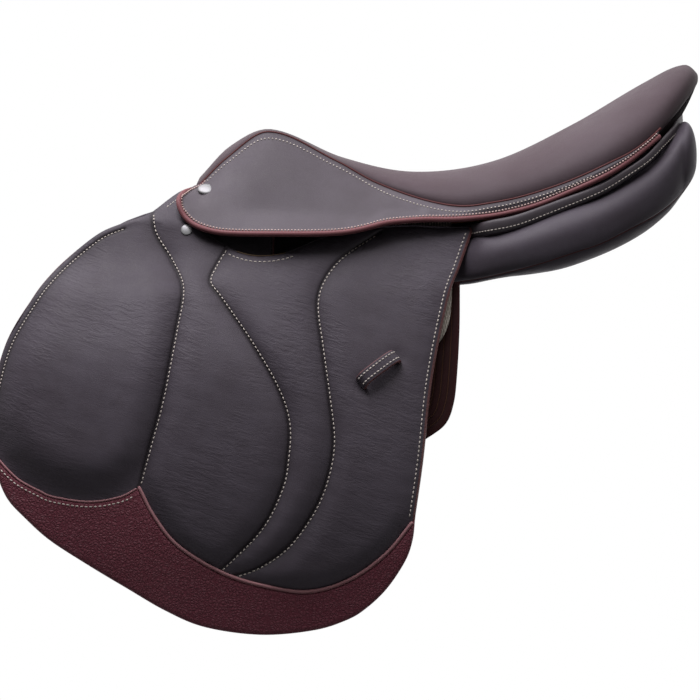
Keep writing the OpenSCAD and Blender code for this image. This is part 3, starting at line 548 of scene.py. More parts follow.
def leaf(loops, lines, front, back, rim, fill=6.0, near=(0.7, 1.6, 3.0, 5.0, 8.0), beside_line=(0.8, 1.8, 3.2, 5.5)):
    """Closed leaf of leather in the XZ plane, with rounded rim and points gathered at its lines."""
    pts, links = leaf_points(loops, lines, fill, near, beside_line)
    out = delaunay_2d_cdt([Vector(p) for p in pts], links, [], 0, 1e-5)
    v, tri = np.array([tuple(p) for p in out[0]]), np.array(out[2])
    tri = tri[within(*v[tri].mean(1).T, loops)]
    used, order = np.unique(tri, return_inverse=True)
    v, tri = v[used], order.reshape(tri.shape)
    x, z = v.T
    n = len(v)
    d = distance(x, z, np.vstack([loops[0], loops[0][:1]]))
    drop = rim * (1 - np.sqrt(np.maximum(0, 1 - (1 - clamp(d / rim, 0, 1)) ** 2)))
    points = np.vstack([np.stack([x, front(x, z) - drop, z], 1), np.stack([x, back(x, z) + drop, z], 1)])
    faces = [tuple(t) for t in tri] + [tuple(t[::-1] + n) for t in tri]
    ends = {}
    for t in tri:
        for a, b in ((t[0], t[1]), (t[1], t[2]), (t[2], t[0])):
            key = (min(a, b), max(a, b))
            ends[key] = None if key in ends else (a, b)
    faces += [(a, a + n, b + n, b) for a, b in filter(None, ends.values())]
    # Seam mark: painted shade along the leaf's lines, a dark core at each line with a wider halo of painted shade in
    # the crease beside it
    off = nearest(x, z, lines)
    seam = np.exp(-(off / SEAM_SHADE_CORE) ** 2) + 0.4 * np.exp(-(off / SEAM_SHADE_HALO) ** 2)
    marks = {"rim": np.tile(1 - clamp(d / RIM_WIDE, 0, 1), 2), "seam": np.concatenate([seam, np.zeros(n)])}
    return points, faces, marks


# Stitches: short capsules laid along a path, each of six rings of six points

RING = 6
STITCH_ALONG = np.repeat([-0.5, -0.4, -0.2, 0.2, 0.4, 0.5], RING)
STITCH_WIDE = np.repeat([0.35, 0.8, 1.0, 1.0, 0.8, 0.35], RING)
STITCH_FACES = [(i * RING + j, i * RING + (j + 1) % RING, (i + 1) * RING + (j + 1) % RING, (i + 1) * RING + j)
                for i in range(RING - 1) for j in range(RING)] + [(5, 4, 3, 2, 1, 0), (30, 31, 32, 33, 34, 35)]


def stitch_row(path, normals, pitch, long, thick, lift=0.15):
    """Points and faces of a row of stitches on a surface."""
    p = np.asarray(path, float)
    run = lengths(p)
    count = max(1, int(run[-1] / pitch))
    q = (np.arange(count) + 0.5) * run[-1] / count
    n = unit(spots(q, run, np.asarray(normals, float)))
    t = unit(spots(np.minimum(q + 0.5, run[-1]), run, p) - spots(np.maximum(q - 0.5, 0), run, p))
    a = np.linspace(0, 2 * math.pi, RING, endpoint=False)
    wide = STITCH_WIDE * thick / 2
    dip = lift - (STITCH_ALONG * 2) ** 2 * 0.35 * thick
    high = np.tile(np.sin(a), RING) * wide * 0.8 + dip
    points = spots(q, run, p)[:, None]
    for way, part in ((t, STITCH_ALONG * long), (np.cross(n, t), np.tile(np.cos(a), RING) * wide), (n, high)):
        points = points + way[:, None] * part[None, :, None]
    faces = [[k * RING ** 2 + i for i in f] for k in range(count) for f in STITCH_FACES]
    return points.reshape(-1, 3), faces


def on_leaf(line, front):
    """Places and normals on the face of a leaf along a line in its plane."""
    x, z, e = line[:, 0], line[:, 1], 0.4
    nx = -(front(x + e, z) - front(x - e, z)) / (2 * e)
    nz = -(front(x, z + e) - front(x, z - e)) / (2 * e)
    return np.stack([x, front(x, z), z], 1), unit(np.stack([nx, np.ones_like(x), nz], 1))


def sew(line, front, sizes, lift=0.15):
    """Row of stitches along a line on the face of a leaf."""
    return stitch_row(*on_leaf(line, front), *sizes, lift)


def seam_stitch(context):
    """Pitch, length and thickness of the stitches of seams, in millimetres."""
    sizes = context.scene.saddle_stitching
    return sizes.pitch / MM, sizes.long / MM, sizes.thread / MM


def edge_stitch(context):
    """Pitch, length and thickness of the stitches beside edges, in millimetres."""
    sizes = context.scene.saddle_stitching
    return sizes.fine_pitch / MM, sizes.fine_long / MM, sizes.fine_thread / MM


# Sizes and colours a user would change

def length(label, about, value):
    return FloatProperty(name=label, description=about, default=value, min=0.0, unit="LENGTH", precision=4)


def colour(label, about, value):
    return FloatVectorProperty(name=label, description=about, default=value, size=3, min=0.0, max=1.0,
                               subtype="COLOR")


def level(label, about, value):
    return FloatProperty(name=label, description=about, default=value, min=0.0)


class SaddleStitching(bpy.types.PropertyGroup):
    """Sizes of the visible thread."""
    pitch: length("Seam pitch", "Distance between the stitches of the flap's seams", 0.0038)
    long: length("Seam stitch", "Length of one stitch of the flap's seams", 0.0026)
    thread: length("Thread", "Thickness of the seam thread", 0.00115)
    fine_pitch: length("Edge pitch", "Distance between the stitches beside edges", 0.0033)
    fine_long: length("Edge stitch", "Length of one stitch beside edges", 0.0023)
    fine_thread: length("Edge thread", "Thickness of the thread beside edges", 0.0009)


class SaddlePadding(bpy.types.PropertyGroup):
    """How far the padded leather rises."""
    knee: length("Knee pad", "Rise of the padding in front of the knee seam", 0.0145)
    panel: length("Flap padding", "Rise of the padding between the other seams", 0.007)
    groove: length("Seam depth", "Depth of the groove at a seam", 0.0011)
    panel_groove: length("Panel seam depth", "Depth of the groove along the panel's seam", 0.0014)


class SaddleEdging(bpy.types.PropertyGroup):
    """Sizes of the welts and piping."""
    welt: length("Welt", "Diameter of the welt between seat and skirt", 0.0021)
    piping: length("Piping", "Diameter of the piping round the skirt", 0.0047)
    bead: length("Trim bead", "Diameter of the raised edge of the trim", 0.0030)


class SaddleColours(bpy.types.PropertyGroup):
    """Colours of leather, thread, web, wood and metal."""
    leather: colour("Leather", "Dark leather of seat, flaps and panels", (0.054, 0.0448, 0.0545))
    leather_light: colour("Leather sheen", "Lighter cloud of the dark leather", (0.090, 0.0785, 0.0965))
    seat: colour("Seat leather", "Warmer leather of the seat", (0.070, 0.049, 0.056))
    seat_light: colour("Seat sheen", "Lighter cloud of the seat leather", (0.112, 0.088, 0.099))
    # The skirt colours are a lighter copy of the dark leather, painted light for the light that the skirts' up-facing
    # slope catches
    skirt: colour("Skirt leather", "Smooth leather of the skirts", (0.078, 0.066, 0.075))
    skirt_light: colour("Skirt sheen", "Lighter cloud of the painted-light skirt leather", (0.112, 0.098, 0.114))
    wine: colour("Wine leather", "Grained leather of the trim", (0.105, 0.022, 0.034))
    wine_light: colour("Wine light", "Tops of the wine leather's grain", (0.185, 0.060, 0.076))
    piping: colour("Piping", "Leather of the piping and welts", (0.165, 0.058, 0.064))
    sweat: colour("Sweat leather", "Plain leather of the sweat flaps", (0.017, 0.0042, 0.0045))
    thread: colour("Thread", "Pale thread of the seams", (0.64, 0.585, 0.52))
    rim: colour("Cut edge", "Painted cut edge of flaps and straps", (0.165, 0.068, 0.066))
    rose: colour("Rose thread", "Thread beside the skirt's piping", (0.60, 0.45, 0.41))
    web: colour("Web", "Woven web of the girth straps", (0.62, 0.57, 0.50))
    beech: colour("Beech", "Wood of the tree", (0.36, 0.20, 0.095))
    steel: colour("Steel", "Bars, catches, plate and rivets", (0.55, 0.55, 0.57))
    nail: colour("Nail metal", "Domed nails", (0.21, 0.21, 0.215))


class SaddleStudio(bpy.types.PropertyGroup):
    """Levels of the studio light."""
    key: level("Key", "Power of the lamp over the front", 46.0)
    fill: level("Fill", "Power of the lamp over the cantle", 11.0)
    back: level("Back", "Power of the lamp behind", 3.0)
    room: level("Room", "Level of the light from all round", 0.02)
    floor: length("Floor drop", "Depth of the floor below the middle", 0.62)


# Finishes

class Net:
    """Short hand for building one node tree."""

    def __init__(self, tree):
        self.tree = tree

    def add(self, kind, values, **settings):
        """New node, with its inputs set or linked by name or number."""
        made = self.tree.nodes.new("ShaderNode" + kind)
        for key, value in settings.items():
            setattr(made, key, value)
        for key, value in values.items():
            if isinstance(value, bpy.types.NodeSocket):
                self.tree.links.new(value, made.inputs[key])
            else:
                made.inputs[key].default_value = value
        return made

    def math(self, operation, a, b=0.0, c=0.0):
        return self.add("Math", {0: a, 1: b, 2: c}, operation=operation).outputs[0]

    def times(self, a, b):
        return self.math("MULTIPLY", a, b)

    def plus(self, a, b):
        return self.math("ADD", a, b)

    def ramp(self, value, lo, hi, a=0.0, b=1.0):
        return self.add("MapRange", {"Value": value, "From Min": lo, "From Max": hi, "To Min": a, "To Max": b},
                        interpolation_type="SMOOTHSTEP").outputs[0]

    def mix(self, factor, a, b, blend="MIX"):
        made = self.add("Mix", {0: factor, 6: a, 7: b}, data_type="RGBA", blend_type=blend)
        return made.outputs[2]

    def place(self, scale=(1, 1, 1), turn=(0, 0, 0)):
        spot = self.add("TexCoord", {}).outputs["Object"]
        return self.add("Mapping", {"Vector": spot, "Scale": scale, "Rotation": turn}).outputs[0]

    def noise(self, vector, scale, detail=3.0, rough=0.55):
        return self.add("TexNoise", {"Vector": vector, "Scale": scale, "Detail": detail,
                                     "Roughness": rough}).outputs["Fac"]

    def mark(self, name):
        return self.add("Attribute", {}, attribute_name=name, attribute_type="GEOMETRY").outputs["Fac"]


def bare_net(owner):
    """Emptied node tree of a material or world."""
    owner.use_nodes = True
    owner.node_tree.nodes.clear()
    return Net(owner.node_tree)


def rgba(c):
    return (c[0], c[1], c[2], 1.0)


def group(name, takes, gives):
    """Empty node group with its sockets, as (tree, net, inputs)."""
    tree = bpy.data.node_groups.new(name, "ShaderNodeTree")
    kinds = {"colour": "NodeSocketColor", "value": "NodeSocketFloat"}
    for label, kind in takes:
        tree.interface.new_socket(name=label, in_out="INPUT", socket_type=kinds[kind])
    for label, kind in gives:
        tree.interface.new_socket(name=label, in_out="OUTPUT", socket_type=kinds[kind])
    return tree, Net(tree), tree.nodes.new("NodeGroupInput").outputs


GIVES = (("Colour", "colour"), ("Roughness", "value"), ("Height", "value"))


def give(net, colour_out, rough_out, height_out):
    out = net.tree.nodes.new("NodeGroupOutput")
    for key, value in zip(("Colour", "Roughness", "Height"), (colour_out, rough_out, height_out)):
        net.tree.links.new(value, out.inputs[key])


def grain_group():
    """Leather: grain cells, clouds of colour, painted rim and painted shade where the seam mark lies."""
    tree, net, take = group("Leather grain", (
        ("Colour", "colour"), ("Light", "colour"), ("Rim", "colour"), ("Cells", "value"), ("Cloud", "value"),
        ("Roughness", "value"), ("Pebble", "value"), ("Paint", "value")), GIVES)
    spot = net.place()
    warp = net.add("TexNoise", {"Vector": spot, "Scale": 160.0, "Detail": 2.0}).outputs["Color"]
    bent = net.mix(0.004, spot, warp, "ADD")
    cells = net.add("TexVoronoi", {"Vector": bent, "Scale": take["Cells"]}, feature="DISTANCE_TO_EDGE")
    top = net.ramp(cells.outputs["Distance"], 0.0, 0.30)
    pores = net.noise(spot, net.times(take["Cells"], 2.6), 2.0)
    cloud = net.ramp(net.noise(spot, 11.0, 5.0, 0.62), 0.32, 0.70)
    fine = net.ramp(net.noise(spot, 85.0, 4.0, 0.6), 0.3, 0.72)
    shade = net.times(net.plus(net.times(cloud, 0.6), net.times(fine, 0.4)), take["Cloud"])
    lit = net.plus(shade, net.times(net.times(top, take["Pebble"]), 0.55))
    base = net.mix(net.math("MINIMUM", lit, 1.0), take["Colour"], take["Light"])
    rim = net.times(net.ramp(net.mark("rim"), 0.50, 0.64), take["Paint"])
    worn = net.times(net.ramp(net.mark("rim"), 0.3, 1.0), net.times(fine, 0.25))
    base = net.mix(worn, base, take["Light"])
    base = net.mix(rim, base, take["Rim"])
    # Painted shade: the seam mark darkens the leather toward near black, standing in for shade in creases and hollows
    dark = net.times(net.mark("seam"), 0.55)
    base = net.mix(dark, base, (0.006, 0.004, 0.004, 1.0))
    rough = net.plus(take["Roughness"], net.times(net.math("SUBTRACT", fine, 0.5), 0.10))
    rough = net.plus(rough, net.times(net.math("SUBTRACT", 1.0, top), 0.08))
    rough = net.math("SUBTRACT", rough, net.times(cloud, 0.05))
    high = net.plus(net.times(top, 0.75), net.times(pores, 0.25))
    give(net, base, rough, high)
    return tree


def crease_group():
    """Fine slanted creases of leather that is worked over padding."""
    tree, net, take = group("Slanted creases", (("Along", "value"), ("Across", "value")), (("Height", "value"),))
    spot = net.place(turn=(0, math.radians(-17), 0))
    parts = net.add("SeparateXYZ", {"Vector": spot})
    vec = net.add("CombineXYZ", {"X": net.times(parts.outputs[0], take["Along"]),
                                 "Y": net.times(parts.outputs[1], 60.0),
                                 "Z": net.times(parts.outputs[2], take["Across"])}).outputs[0]
    fold_lines = net.ramp(net.add("TexNoise", {"Vector": vec, "Scale": 1.0, "Detail": 3.0, "Roughness": 0.6,
                                               "Distortion": 0.8}).outputs["Fac"], 0.38, 0.62)
    patch = net.ramp(net.noise(net.place(), 14.0, 2.0), 0.40, 0.62, 0.12, 1.0)
    out = tree.nodes.new("NodeGroupOutput")
    tree.links.new(net.times(fold_lines, patch), out.inputs["Height"])
    return tree


def weave_group():
    """Plain weave of a flat web."""
    tree, net, take = group("Plain weave", (("Colour", "colour"), ("Threads", "value")), GIVES)
    spot = net.add("SeparateXYZ", {"Vector": net.place()})
    drop = net.math("SUBTRACT", spot.outputs[2], spot.outputs[1])
    u = net.math("SINE", net.times(spot.outputs[0], take["Threads"]))
    v = net.math("SINE", net.times(drop, net.times(take["Threads"], 0.6)))
    high = net.plus(net.times(net.times(u, v), 0.5), 0.5)
    fuzz = net.noise(net.place(), 700.0, 3.0)
    base = net.mix(net.times(net.ramp(high, 0.1, 0.8, 1.0, 0.0), 0.55), take["Colour"],
                   (0.10, 0.075, 0.055, 1.0))
    base = net.mix(net.times(net.ramp(net.noise(net.place(), 20.0, 4.0), 0.4, 0.7), 0.3), base,
                   (0.20, 0.155, 0.12, 1.0))
    give(net, base, net.ramp(fuzz, 0.2, 0.8, 0.75, 0.95),
         net.plus(high, net.times(fuzz, 0.3)))
    return tree


def brushed_group():
    """Metal with fine lines, dull patches and small scratches."""
    tree, net, take = group("Brushed metal", (("Colour", "colour"), ("Roughness", "value"), ("Lines", "value")), GIVES)
    lines = net.noise(net.place(scale=(40, 900, 900)), 1.0, 4.0, 0.6)
    dull = net.ramp(net.noise(net.place(), 70.0, 4.0, 0.6), 0.35, 0.7)
    base = net.mix(net.times(dull, 0.35), take["Colour"], (0.22, 0.21, 0.21, 1.0))
    rough = net.plus(take["Roughness"], net.times(net.plus(dull, lines), 0.10))
    give(net, base, rough, net.times(lines, take["Lines"]))
    return tree


def timber_group():
    """Bonded beech with long grain and short flecks."""
    tree, net, take = group("Beech grain", (("Colour", "colour"),), GIVES)
    rings = net.noise(net.place(scale=(6, 90, 170)), 1.0, 5.0, 0.6)
    flecks = net.ramp(net.noise(net.place(scale=(70, 900, 900)), 1.0, 2.0), 0.58, 0.7)
    base = net.mix(net.ramp(rings, 0.35, 0.68), take["Colour"], (0.19, 0.092, 0.038, 1.0))
    base = net.mix(net.times(flecks, 0.5), base, (0.10, 0.05, 0.022, 1.0))
    give(net, base, net.ramp(rings, 0.3, 0.7, 0.48, 0.62), net.plus(rings, net.times(flecks, 0.3)))
    return tree


def thread_group():
    """Twisted thread with fuzz."""
    tree, net, take = group("Twisted thread", (("Colour", "colour"),), GIVES)
    twist = net.noise(net.place(), 1900.0, 2.0)
    tone = net.ramp(net.noise(net.place(), 45.0, 3.0), 0.35, 0.7)
    base = net.mix(net.times(tone, 0.3), take["Colour"],
                   net.mix(0.55, take["Colour"], (0.05, 0.035, 0.025, 1.0)))
    give(net, base, net.ramp(twist, 0.2, 0.8, 0.6, 0.8), twist)
    return tree


FINISHES = {}
CREASE_ALONG, CREASE_ACROSS, CREASE_DEPTH = 75.0, 330.0, 0.0012


def finish(name, shared, takes, metal=0.0, strength=0.3, depth=0.0004, creases=0.0, gloss=0.12):
    """Material from a shared effect; creases adds the slanted folds to its bump."""
    mat = bpy.data.materials.new(name)
    net = bare_net(mat)
    effect = net.add("Group", takes, node_tree=shared).outputs
    bump = net.add("Bump", {"Height": effect["Height"], "Strength": strength, "Distance": depth})
    if creases:
        folds = net.add("Group", {"Along": CREASE_ALONG, "Across": CREASE_ACROSS},
                        node_tree=bpy.data.node_groups["Slanted creases"])
        bump = net.add("Bump", {"Height": folds.outputs["Height"], "Strength": creases, "Distance": CREASE_DEPTH,
                                "Normal": bump.outputs[0]})
    skin = net.add("BsdfPrincipled", {"Base Color": effect["Colour"], "Roughness": effect["Roughness"],
                                      "Metallic": metal, "Normal": bump.outputs[0], "Specular IOR Level": gloss})
    net.add("OutputMaterial", {"Surface": skin.outputs[0]})
    FINISHES[name] = mat


class SADDLE_OT_finishes(bpy.types.Operator):
    """Make the leather, thread, web, wood and metal"""
    bl_idname = "saddle.finishes"
    bl_label = "Finishes"

    def execute(self, context):
        c = context.scene.saddle_colours
        grain, threads, brushed = grain_group(), thread_group(), brushed_group()
        crease_group()
        dark = {"Rim": rgba(c.piping), "Cells": 900.0, "Cloud": 0.55, "Roughness": 0.47, "Pebble": 0.12, "Paint": 0.0}
        wine = {"Rim": rgba(c.wine), "Cells": 390.0, "Cloud": 0.30, "Roughness": 0.52, "Pebble": 0.7, "Paint": 0.0}
        flap, strap = {"Paint": 0.9, "Rim": rgba(c.rim)}, {"Paint": 0.8, "Rim": rgba(c.rim), "Cells": 700.0}

        def leather(name, base, shades, changes, strength, depth=0.0003, **more):
            takes = {**base, "Colour": rgba(shades[0]), "Light": rgba(shades[1]), **changes}
            finish(name, grain, takes, strength=strength, depth=depth, **more)

        plain = (c.leather, c.leather_light)
        leather("calf leather", dark, plain, {}, 0.22)
        leather("seat leather", dark, (c.seat, c.seat_light), {"Roughness": 0.56}, 0.2, gloss=0.09)
        # Painted light: the skirts take a lighter copy of the dark leather
        leather("painted-light skirt leather", dark, (c.skirt, c.skirt_light), {}, 0.2)
        leather("flap leather", dark, plain, flap, 0.22, creases=0.21)
        leather("strap leather", dark, plain, strap, 0.3, 0.0004)
        leather("wine leather", wine, (c.wine, c.wine_light), {"Roughness": 0.5}, 0.7, 0.001, gloss=0.15)
        leather("wine edge", wine, ((0.33, 0.155, 0.165), (0.42, 0.24, 0.25)), {"Cells": 800.0}, 0.3, 0.0004)
        leather("piping leather", wine, (c.piping, (0.24, 0.11, 0.115)), {"Cells": 900.0, "Roughness": 0.45}, 0.25)
        leather("welt leather", wine, ((0.062, 0.016, 0.017), (0.12, 0.042, 0.04)), {"Cells": 900.0}, 0.25)
        leather("sweat leather", dark, (c.sweat, (0.036, 0.011, 0.011)), {"Paint": 0.1, "Roughness": 0.6}, 0.25,
                gloss=0.06)
        # Near-black matt leather under the cantle, a painted shadow standing in for the shade there
        leather("painted-shadow leather", dark, ((0.017, 0.013, 0.014), (0.03, 0.024, 0.027)), {"Roughness": 0.85}, 0.22,
                gloss=0.02)
        leather("roll leather", dark, ((0.034, 0.027, 0.031), (0.056, 0.047, 0.056)), {"Roughness": 0.42}, 0.22,
                gloss=0.2)
        leather("sweat line", dark, ((0.055, 0.024, 0.014), (0.085, 0.04, 0.024)), {"Roughness": 0.7}, 0.25, gloss=0.06)
        leather("raw edge", dark, ((0.11, 0.075, 0.045), (0.17, 0.12, 0.08)), {"Roughness": 0.8}, 0.4, 0.0004)
        for name, shade in (("thread", c.thread), ("rose thread", c.rose), ("dark thread", (0.03, 0.022, 0.022))):
            finish(name, threads, {"Colour": rgba(shade)}, strength=0.5, depth=0.0002)
        finish("web", weave_group(), {"Colour": rgba(c.web), "Threads": 2600.0}, strength=0.8, depth=0.0006)
        for name, shade, rough, strength, depth in (("steel", c.steel, 0.30, 0.25, 0.0002),
                                                    ("nail metal", c.nail, 0.45, 0.5, 0.0004)):
            finish(name, brushed, {"Colour": rgba(shade), "Roughness": rough, "Lines": 1.0}, metal=1.0,
                   strength=strength, depth=depth, gloss=0.5)
        finish("beech", timber_group(), {"Colour": rgba(c.beech)}, strength=0.3, depth=0.0004)
        return {"FINISHED"}


# The stage

VIEW_FROM = (-0.045, -2.2912, 0.1463)
VIEW_TILT = math.radians(85)
VIEW_LENS = 131.4


def lamp(name, power, size, spot, aim, tint=(1.0, 1.0, 1.0)):
    data = bpy.data.lights.new(name, "AREA")
    data.energy, data.shape, data.size, data.size_y = power, "RECTANGLE", size[0], size[1]
    data.color = tint
    obj = bpy.data.objects.new(name, data)
    obj.location = spot
    obj.rotation_euler = (Vector(aim) - Vector(spot)).to_track_quat("-Z", "Y").to_euler()
    bpy.context.collection.objects.link(obj)


def seen_directly(net):
    """1 for what the camera sees, also in a mirror or through clear things."""
    path = net.add("LightPath", {}).outputs
    return net.math("MAXIMUM", path["Is Camera Ray"],
                    net.math("MAXIMUM", path["Is Glossy Ray"], path["Is Transmission Ray"]))


FLOOR_RADIUS, FLOOR_X, FADE_FROM, FADE_TO, AIM = 1.15, -0.04, 0.55, 1.1, (-0.05, 0, 0.05)


def floor_finish():
    """Pale matt floor that fades out toward its rim."""
    mat = bpy.data.materials.new("floor")
    net = bare_net(mat)
    spot = net.add("TexCoord", {}).outputs["Object"]
    far = net.add("VectorMath", {0: spot}, operation="LENGTH").outputs["Value"]
    speck = net.ramp(net.noise(spot, 30.0, 4.0), 0.3, 0.7, 0.86, 0.9)
    speck = net.times(speck, net.ramp(seen_directly(net), 0.0, 1.0, 0.25, 1.0))
    tone = net.add("CombineColor", {0: speck, 1: speck, 2: speck})
    pale = net.add("BsdfPrincipled", {"Base Color": tone.outputs[0], "Roughness": 0.9})
    clear = net.add("BsdfTransparent", {})
    fade = net.add("MixShader", {0: net.ramp(far, FADE_FROM, FADE_TO), 1: pale.outputs[0], 2: clear.outputs[0]})
    net.add("OutputMaterial", {"Surface": fade.outputs[0]})
    return mat


class SADDLE_OT_stage(bpy.types.Operator):
    """Set the camera, floor, room light and lamps"""
    bl_idname = "saddle.stage"
    bl_label = "Stage"

    def execute(self, context):
        studio = context.scene.saddle_studio
        context.scene.view_settings.view_transform = "Standard"
        data = bpy.data.cameras.new("camera")
        data.lens, data.sensor_width = VIEW_LENS, 36
        cam = bpy.data.objects.new("camera", data)
        cam.location, cam.rotation_euler = VIEW_FROM, (VIEW_TILT, 0, 0)
        context.collection.objects.link(cam)
        context.scene.camera = cam
        world = bpy.data.worlds.new("room")
        context.scene.world = world
        net = bare_net(world)
        white = net.add("Background", {"Color": (1, 1, 1, 1), "Strength": 1.0})
        room = net.add("Background", {"Color": (1, 1, 1, 1), "Strength": studio.room})
        both = net.add("MixShader", {0: seen_directly(net), 1: room.outputs[0], 2: white.outputs[0]})
        net.add("OutputWorld", {"Surface": both.outputs[0]})
        bm = bmesh.new()
        bmesh.ops.create_circle(bm, cap_ends=True, segments=96, radius=FLOOR_RADIUS)
        mesh = bpy.data.meshes.new("floor")
        bm.to_mesh(mesh)
        bm.free()
        mesh.materials.append(floor_finish())
        floor = bpy.data.objects.new("floor", mesh)
        floor.location = (FLOOR_X, 0, -studio.floor)
        context.collection.objects.link(floor)
        lamp("key", studio.key, (1.7, 0.9), (-0.5, -0.2, 1.55), AIM, (0.98, 0.95, 1.0))
        lamp("fill", studio.fill, (1.7, 0.9), (0.7, -0.35, 1.5), AIM)
        lamp("back", studio.back, (1.8, 1.0), (0.3, 1.3, 1.55), AIM)
        return {"FINISHED"}


# Shared last steps of a piece

def settle(obj, body, nodes=()):
    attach(obj, body)
    if nodes:
        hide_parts(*nodes)
    return obj


def bend(obj, body, slot_name, start, end, nodes=(), side=1):
    """Leather that crosses a hinge between the saddle and a moving body, baked in place; it is not attached to the body
    and does not bend.
    """
    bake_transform(obj)
    if nodes:
        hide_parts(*nodes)
    return obj


def lone(name, shape, finish_name, nodes=()):
    """A piece across the middle of the saddle, from points, faces and perhaps marks."""
    obj = piece(name, *shape[:2], FINISHES[finish_name], 1, *shape[2:])
    return settle(obj, "saddle", nodes)


def pair(stem, shape, finish_name, slot_name, nodes=(), body="saddle", hinge=None):
    """A piece on each side, riding a body, or baked in place without bending when it crosses a hinge; {} in the body
    stands for the side.
    """
    made = []
    for name, side in SIDES:
        obj = piece(stem + "_" + name, *shape[:2], FINISHES[finish_name], side, *shape[2:])
        replaced = [node + "_" + name for node in nodes]
        if hinge:
            bend(obj, body.format(name), slot_name, *hinge, nodes=replaced, side=side)
        else:
            settle(obj, body.format(name), replaced)
        made.append(obj)
    return made


# Seat

SEAT_LEAN = 3.6


def seat_ring(x, turn):
    """Section of the seat, over its top and back under its edges."""
    w = float(seat_half(x))
    y = w * np.sin(turn)
    top = np.stack([np.full(len(y), x), y, seat_z(np.full(len(y), x), y)], 1)
    low = float(seat_low(x)) - COVER_T
    deep = min(5.0, w * 0.4)
    under = [(x, w - 0.3, low + 0.9), (x, w - 1.2, low)]
    under += [(x, v, low + 0.4) for v in np.linspace(w - deep, -w + deep, 12)]
    under += [(x, -w + 1.2, low), (x, -w + 0.3, low + 0.9)]
    return np.vstack([top, under])


class SADDLE_OT_seat(bpy.types.Operator):
    """Make the padded seat"""
    bl_idname = "saddle.seat"
    bl_label = "Seat"

    def execute(self, context):
        xs = np.concatenate([np.linspace(-SEAT_FRONT, -SEAT_FRONT + 8, 4), np.linspace(-166, 170, 68),
                             ROUND_X + (SEAT_BACK - 0.4 - ROUND_X) * np.sin(np.linspace(0.04, math.pi / 2, 30))])
        part = np.linspace(-1, 1, 61)
        turn = math.pi / 2 * np.sign(part) * (1 - (1 - np.abs(part)) ** 1.5)
        points, faces = loft([seat_ring(x, turn) for x in xs])
        points[:, 0] -= SEAT_LEAN * ease((-158 - points[:, 0]) / 14) * clamp((NOSE_H - 2 - points[:, 2]) / 12, 0, 1)
        # Painted shade in the seam mark: darker just above the welt along the seat's lower edge, over a broad band of
        # the lower seat from the waist back, and over the whole back end under the cantle's peak
        off = points[:, 2] - seat_low(points[:, 0])
        low_shade = 0.3 * ease((points[:, 0] - 25) / 40) * np.exp(-(off / 22) ** 2)
        peak_shade = 0.3 * ease((points[:, 0] - 212) / 45)
        seam = np.maximum(np.exp(-(off / 3.2) ** 2), low_shade + peak_shade)
        marks = {"rim": np.zeros(len(points)), "seam": seam}
        seat = lone("seat_leather", (points, faces, marks), "seat leather", ("seat_cover", "seat_foam"))
        return {"FINISHED"}


# Skirts

TIP_STEPS = np.array([0.5, 0.9, 1.4, 2.0, 3, 4.5, 6.5, 9, 12, 15])
PIPE_STEP, PIPE_TIP = 2.2, TIP_X - 0.6
UPPER_FROM, UPPER_TO, UPPER_IN = -171, 162, 6.8
UPPER_FALL = ([-40, 20, 60, 118, 150], [5.2, 4.8, 3.7, 3.4, 3.9])
HINGE_X, HINGE_OUT = -85.0, np.array([-0.089, 0.693, -0.696])


def skirt_column(x, count=26):
    """Points of the skirt's face from the seat down to its hem, at one place along it."""
    b = skirt_low_edge(x)
    t = np.linspace(0, 1, 30)[:, None]
    line = lerp(skirt_top_edge(x), b, t) + np.array([0, 1.8, 1.4]) * np.sin(math.pi * t)
    if x < FOLD_X - 0.5:
        line = relax(np.vstack([line, lerp(b, skirt_hem(x), t[1:])]), 10)
    u = np.linspace(0, 1, count)
    s = 0.5 * u + 0.25 * (1 - np.cos(math.pi * u))
    return spots(s, np.linspace(0, 1, 200), resample(line, count=200))


def along(column, d):
    """Point of a column at distance d from its start."""
    run = lengths(column)
    return spots(np.array([clamp(d, 0, run[-1])]), run, column)[0]


def grid_normals(grid):
    du, dv = np.gradient(grid, axis=0), np.gradient(grid, axis=1)
    n = unit(np.cross(du, dv))
    return n * np.where(n[..., 1:2] < 0, -1, 1)


def skirt_pipe_path():
    """Line of the piping, from the nose of the skirt round its tip and along its hem."""
    nose = np.array([skirt_top_edge(x) for x in np.linspace(-172, PIPE_TIP, 17)]) + np.array([0, -0.6, -0.4])
    hem_xs = np.concatenate([np.linspace(PIPE_TIP, -150, 40), np.linspace(-146, SKIRT_END, 90)])
    hem = np.array([skirt_hem(x) for x in hem_xs]) + np.array([0, 0, -1.5])
    return relax(resample(np.vstack([nose, hem[1:]]), PIPE_STEP), 10)


def hem_stitch_line(path, gap, xs, grid, normal):
    """Line on the skirt's face beside its piping, with the normals of the face."""
    face, face_n = grid.reshape(-1, 3), normal.reshape(-1, 3)
    heart = grid[:, 12]
    line, normals = [], []
    for p, way in zip(path, tangents(path)):
        n = face_n[np.argmin(((face - p) ** 2).sum(1))]
        centre = heart[np.argmin(np.abs(xs - p[0] - lerp(14, 0, float(ease((p[0] + 180) / 40)))))]
        inward = unit(np.cross(n, way))
        q = p + inward * np.sign(np.dot(inward, centre - p)) * gap
        k = np.argmin(((face - q) ** 2).sum(1))
        on_face = q - face_n[k] * np.dot(q - face[k], face_n[k])
        line.append(on_face + face_n[k] * 0.7 * float(ease((-179 - q[0]) / 8)))
        normals.append(face_n[k])
    return relax(np.array(line), 3), np.array(normals)


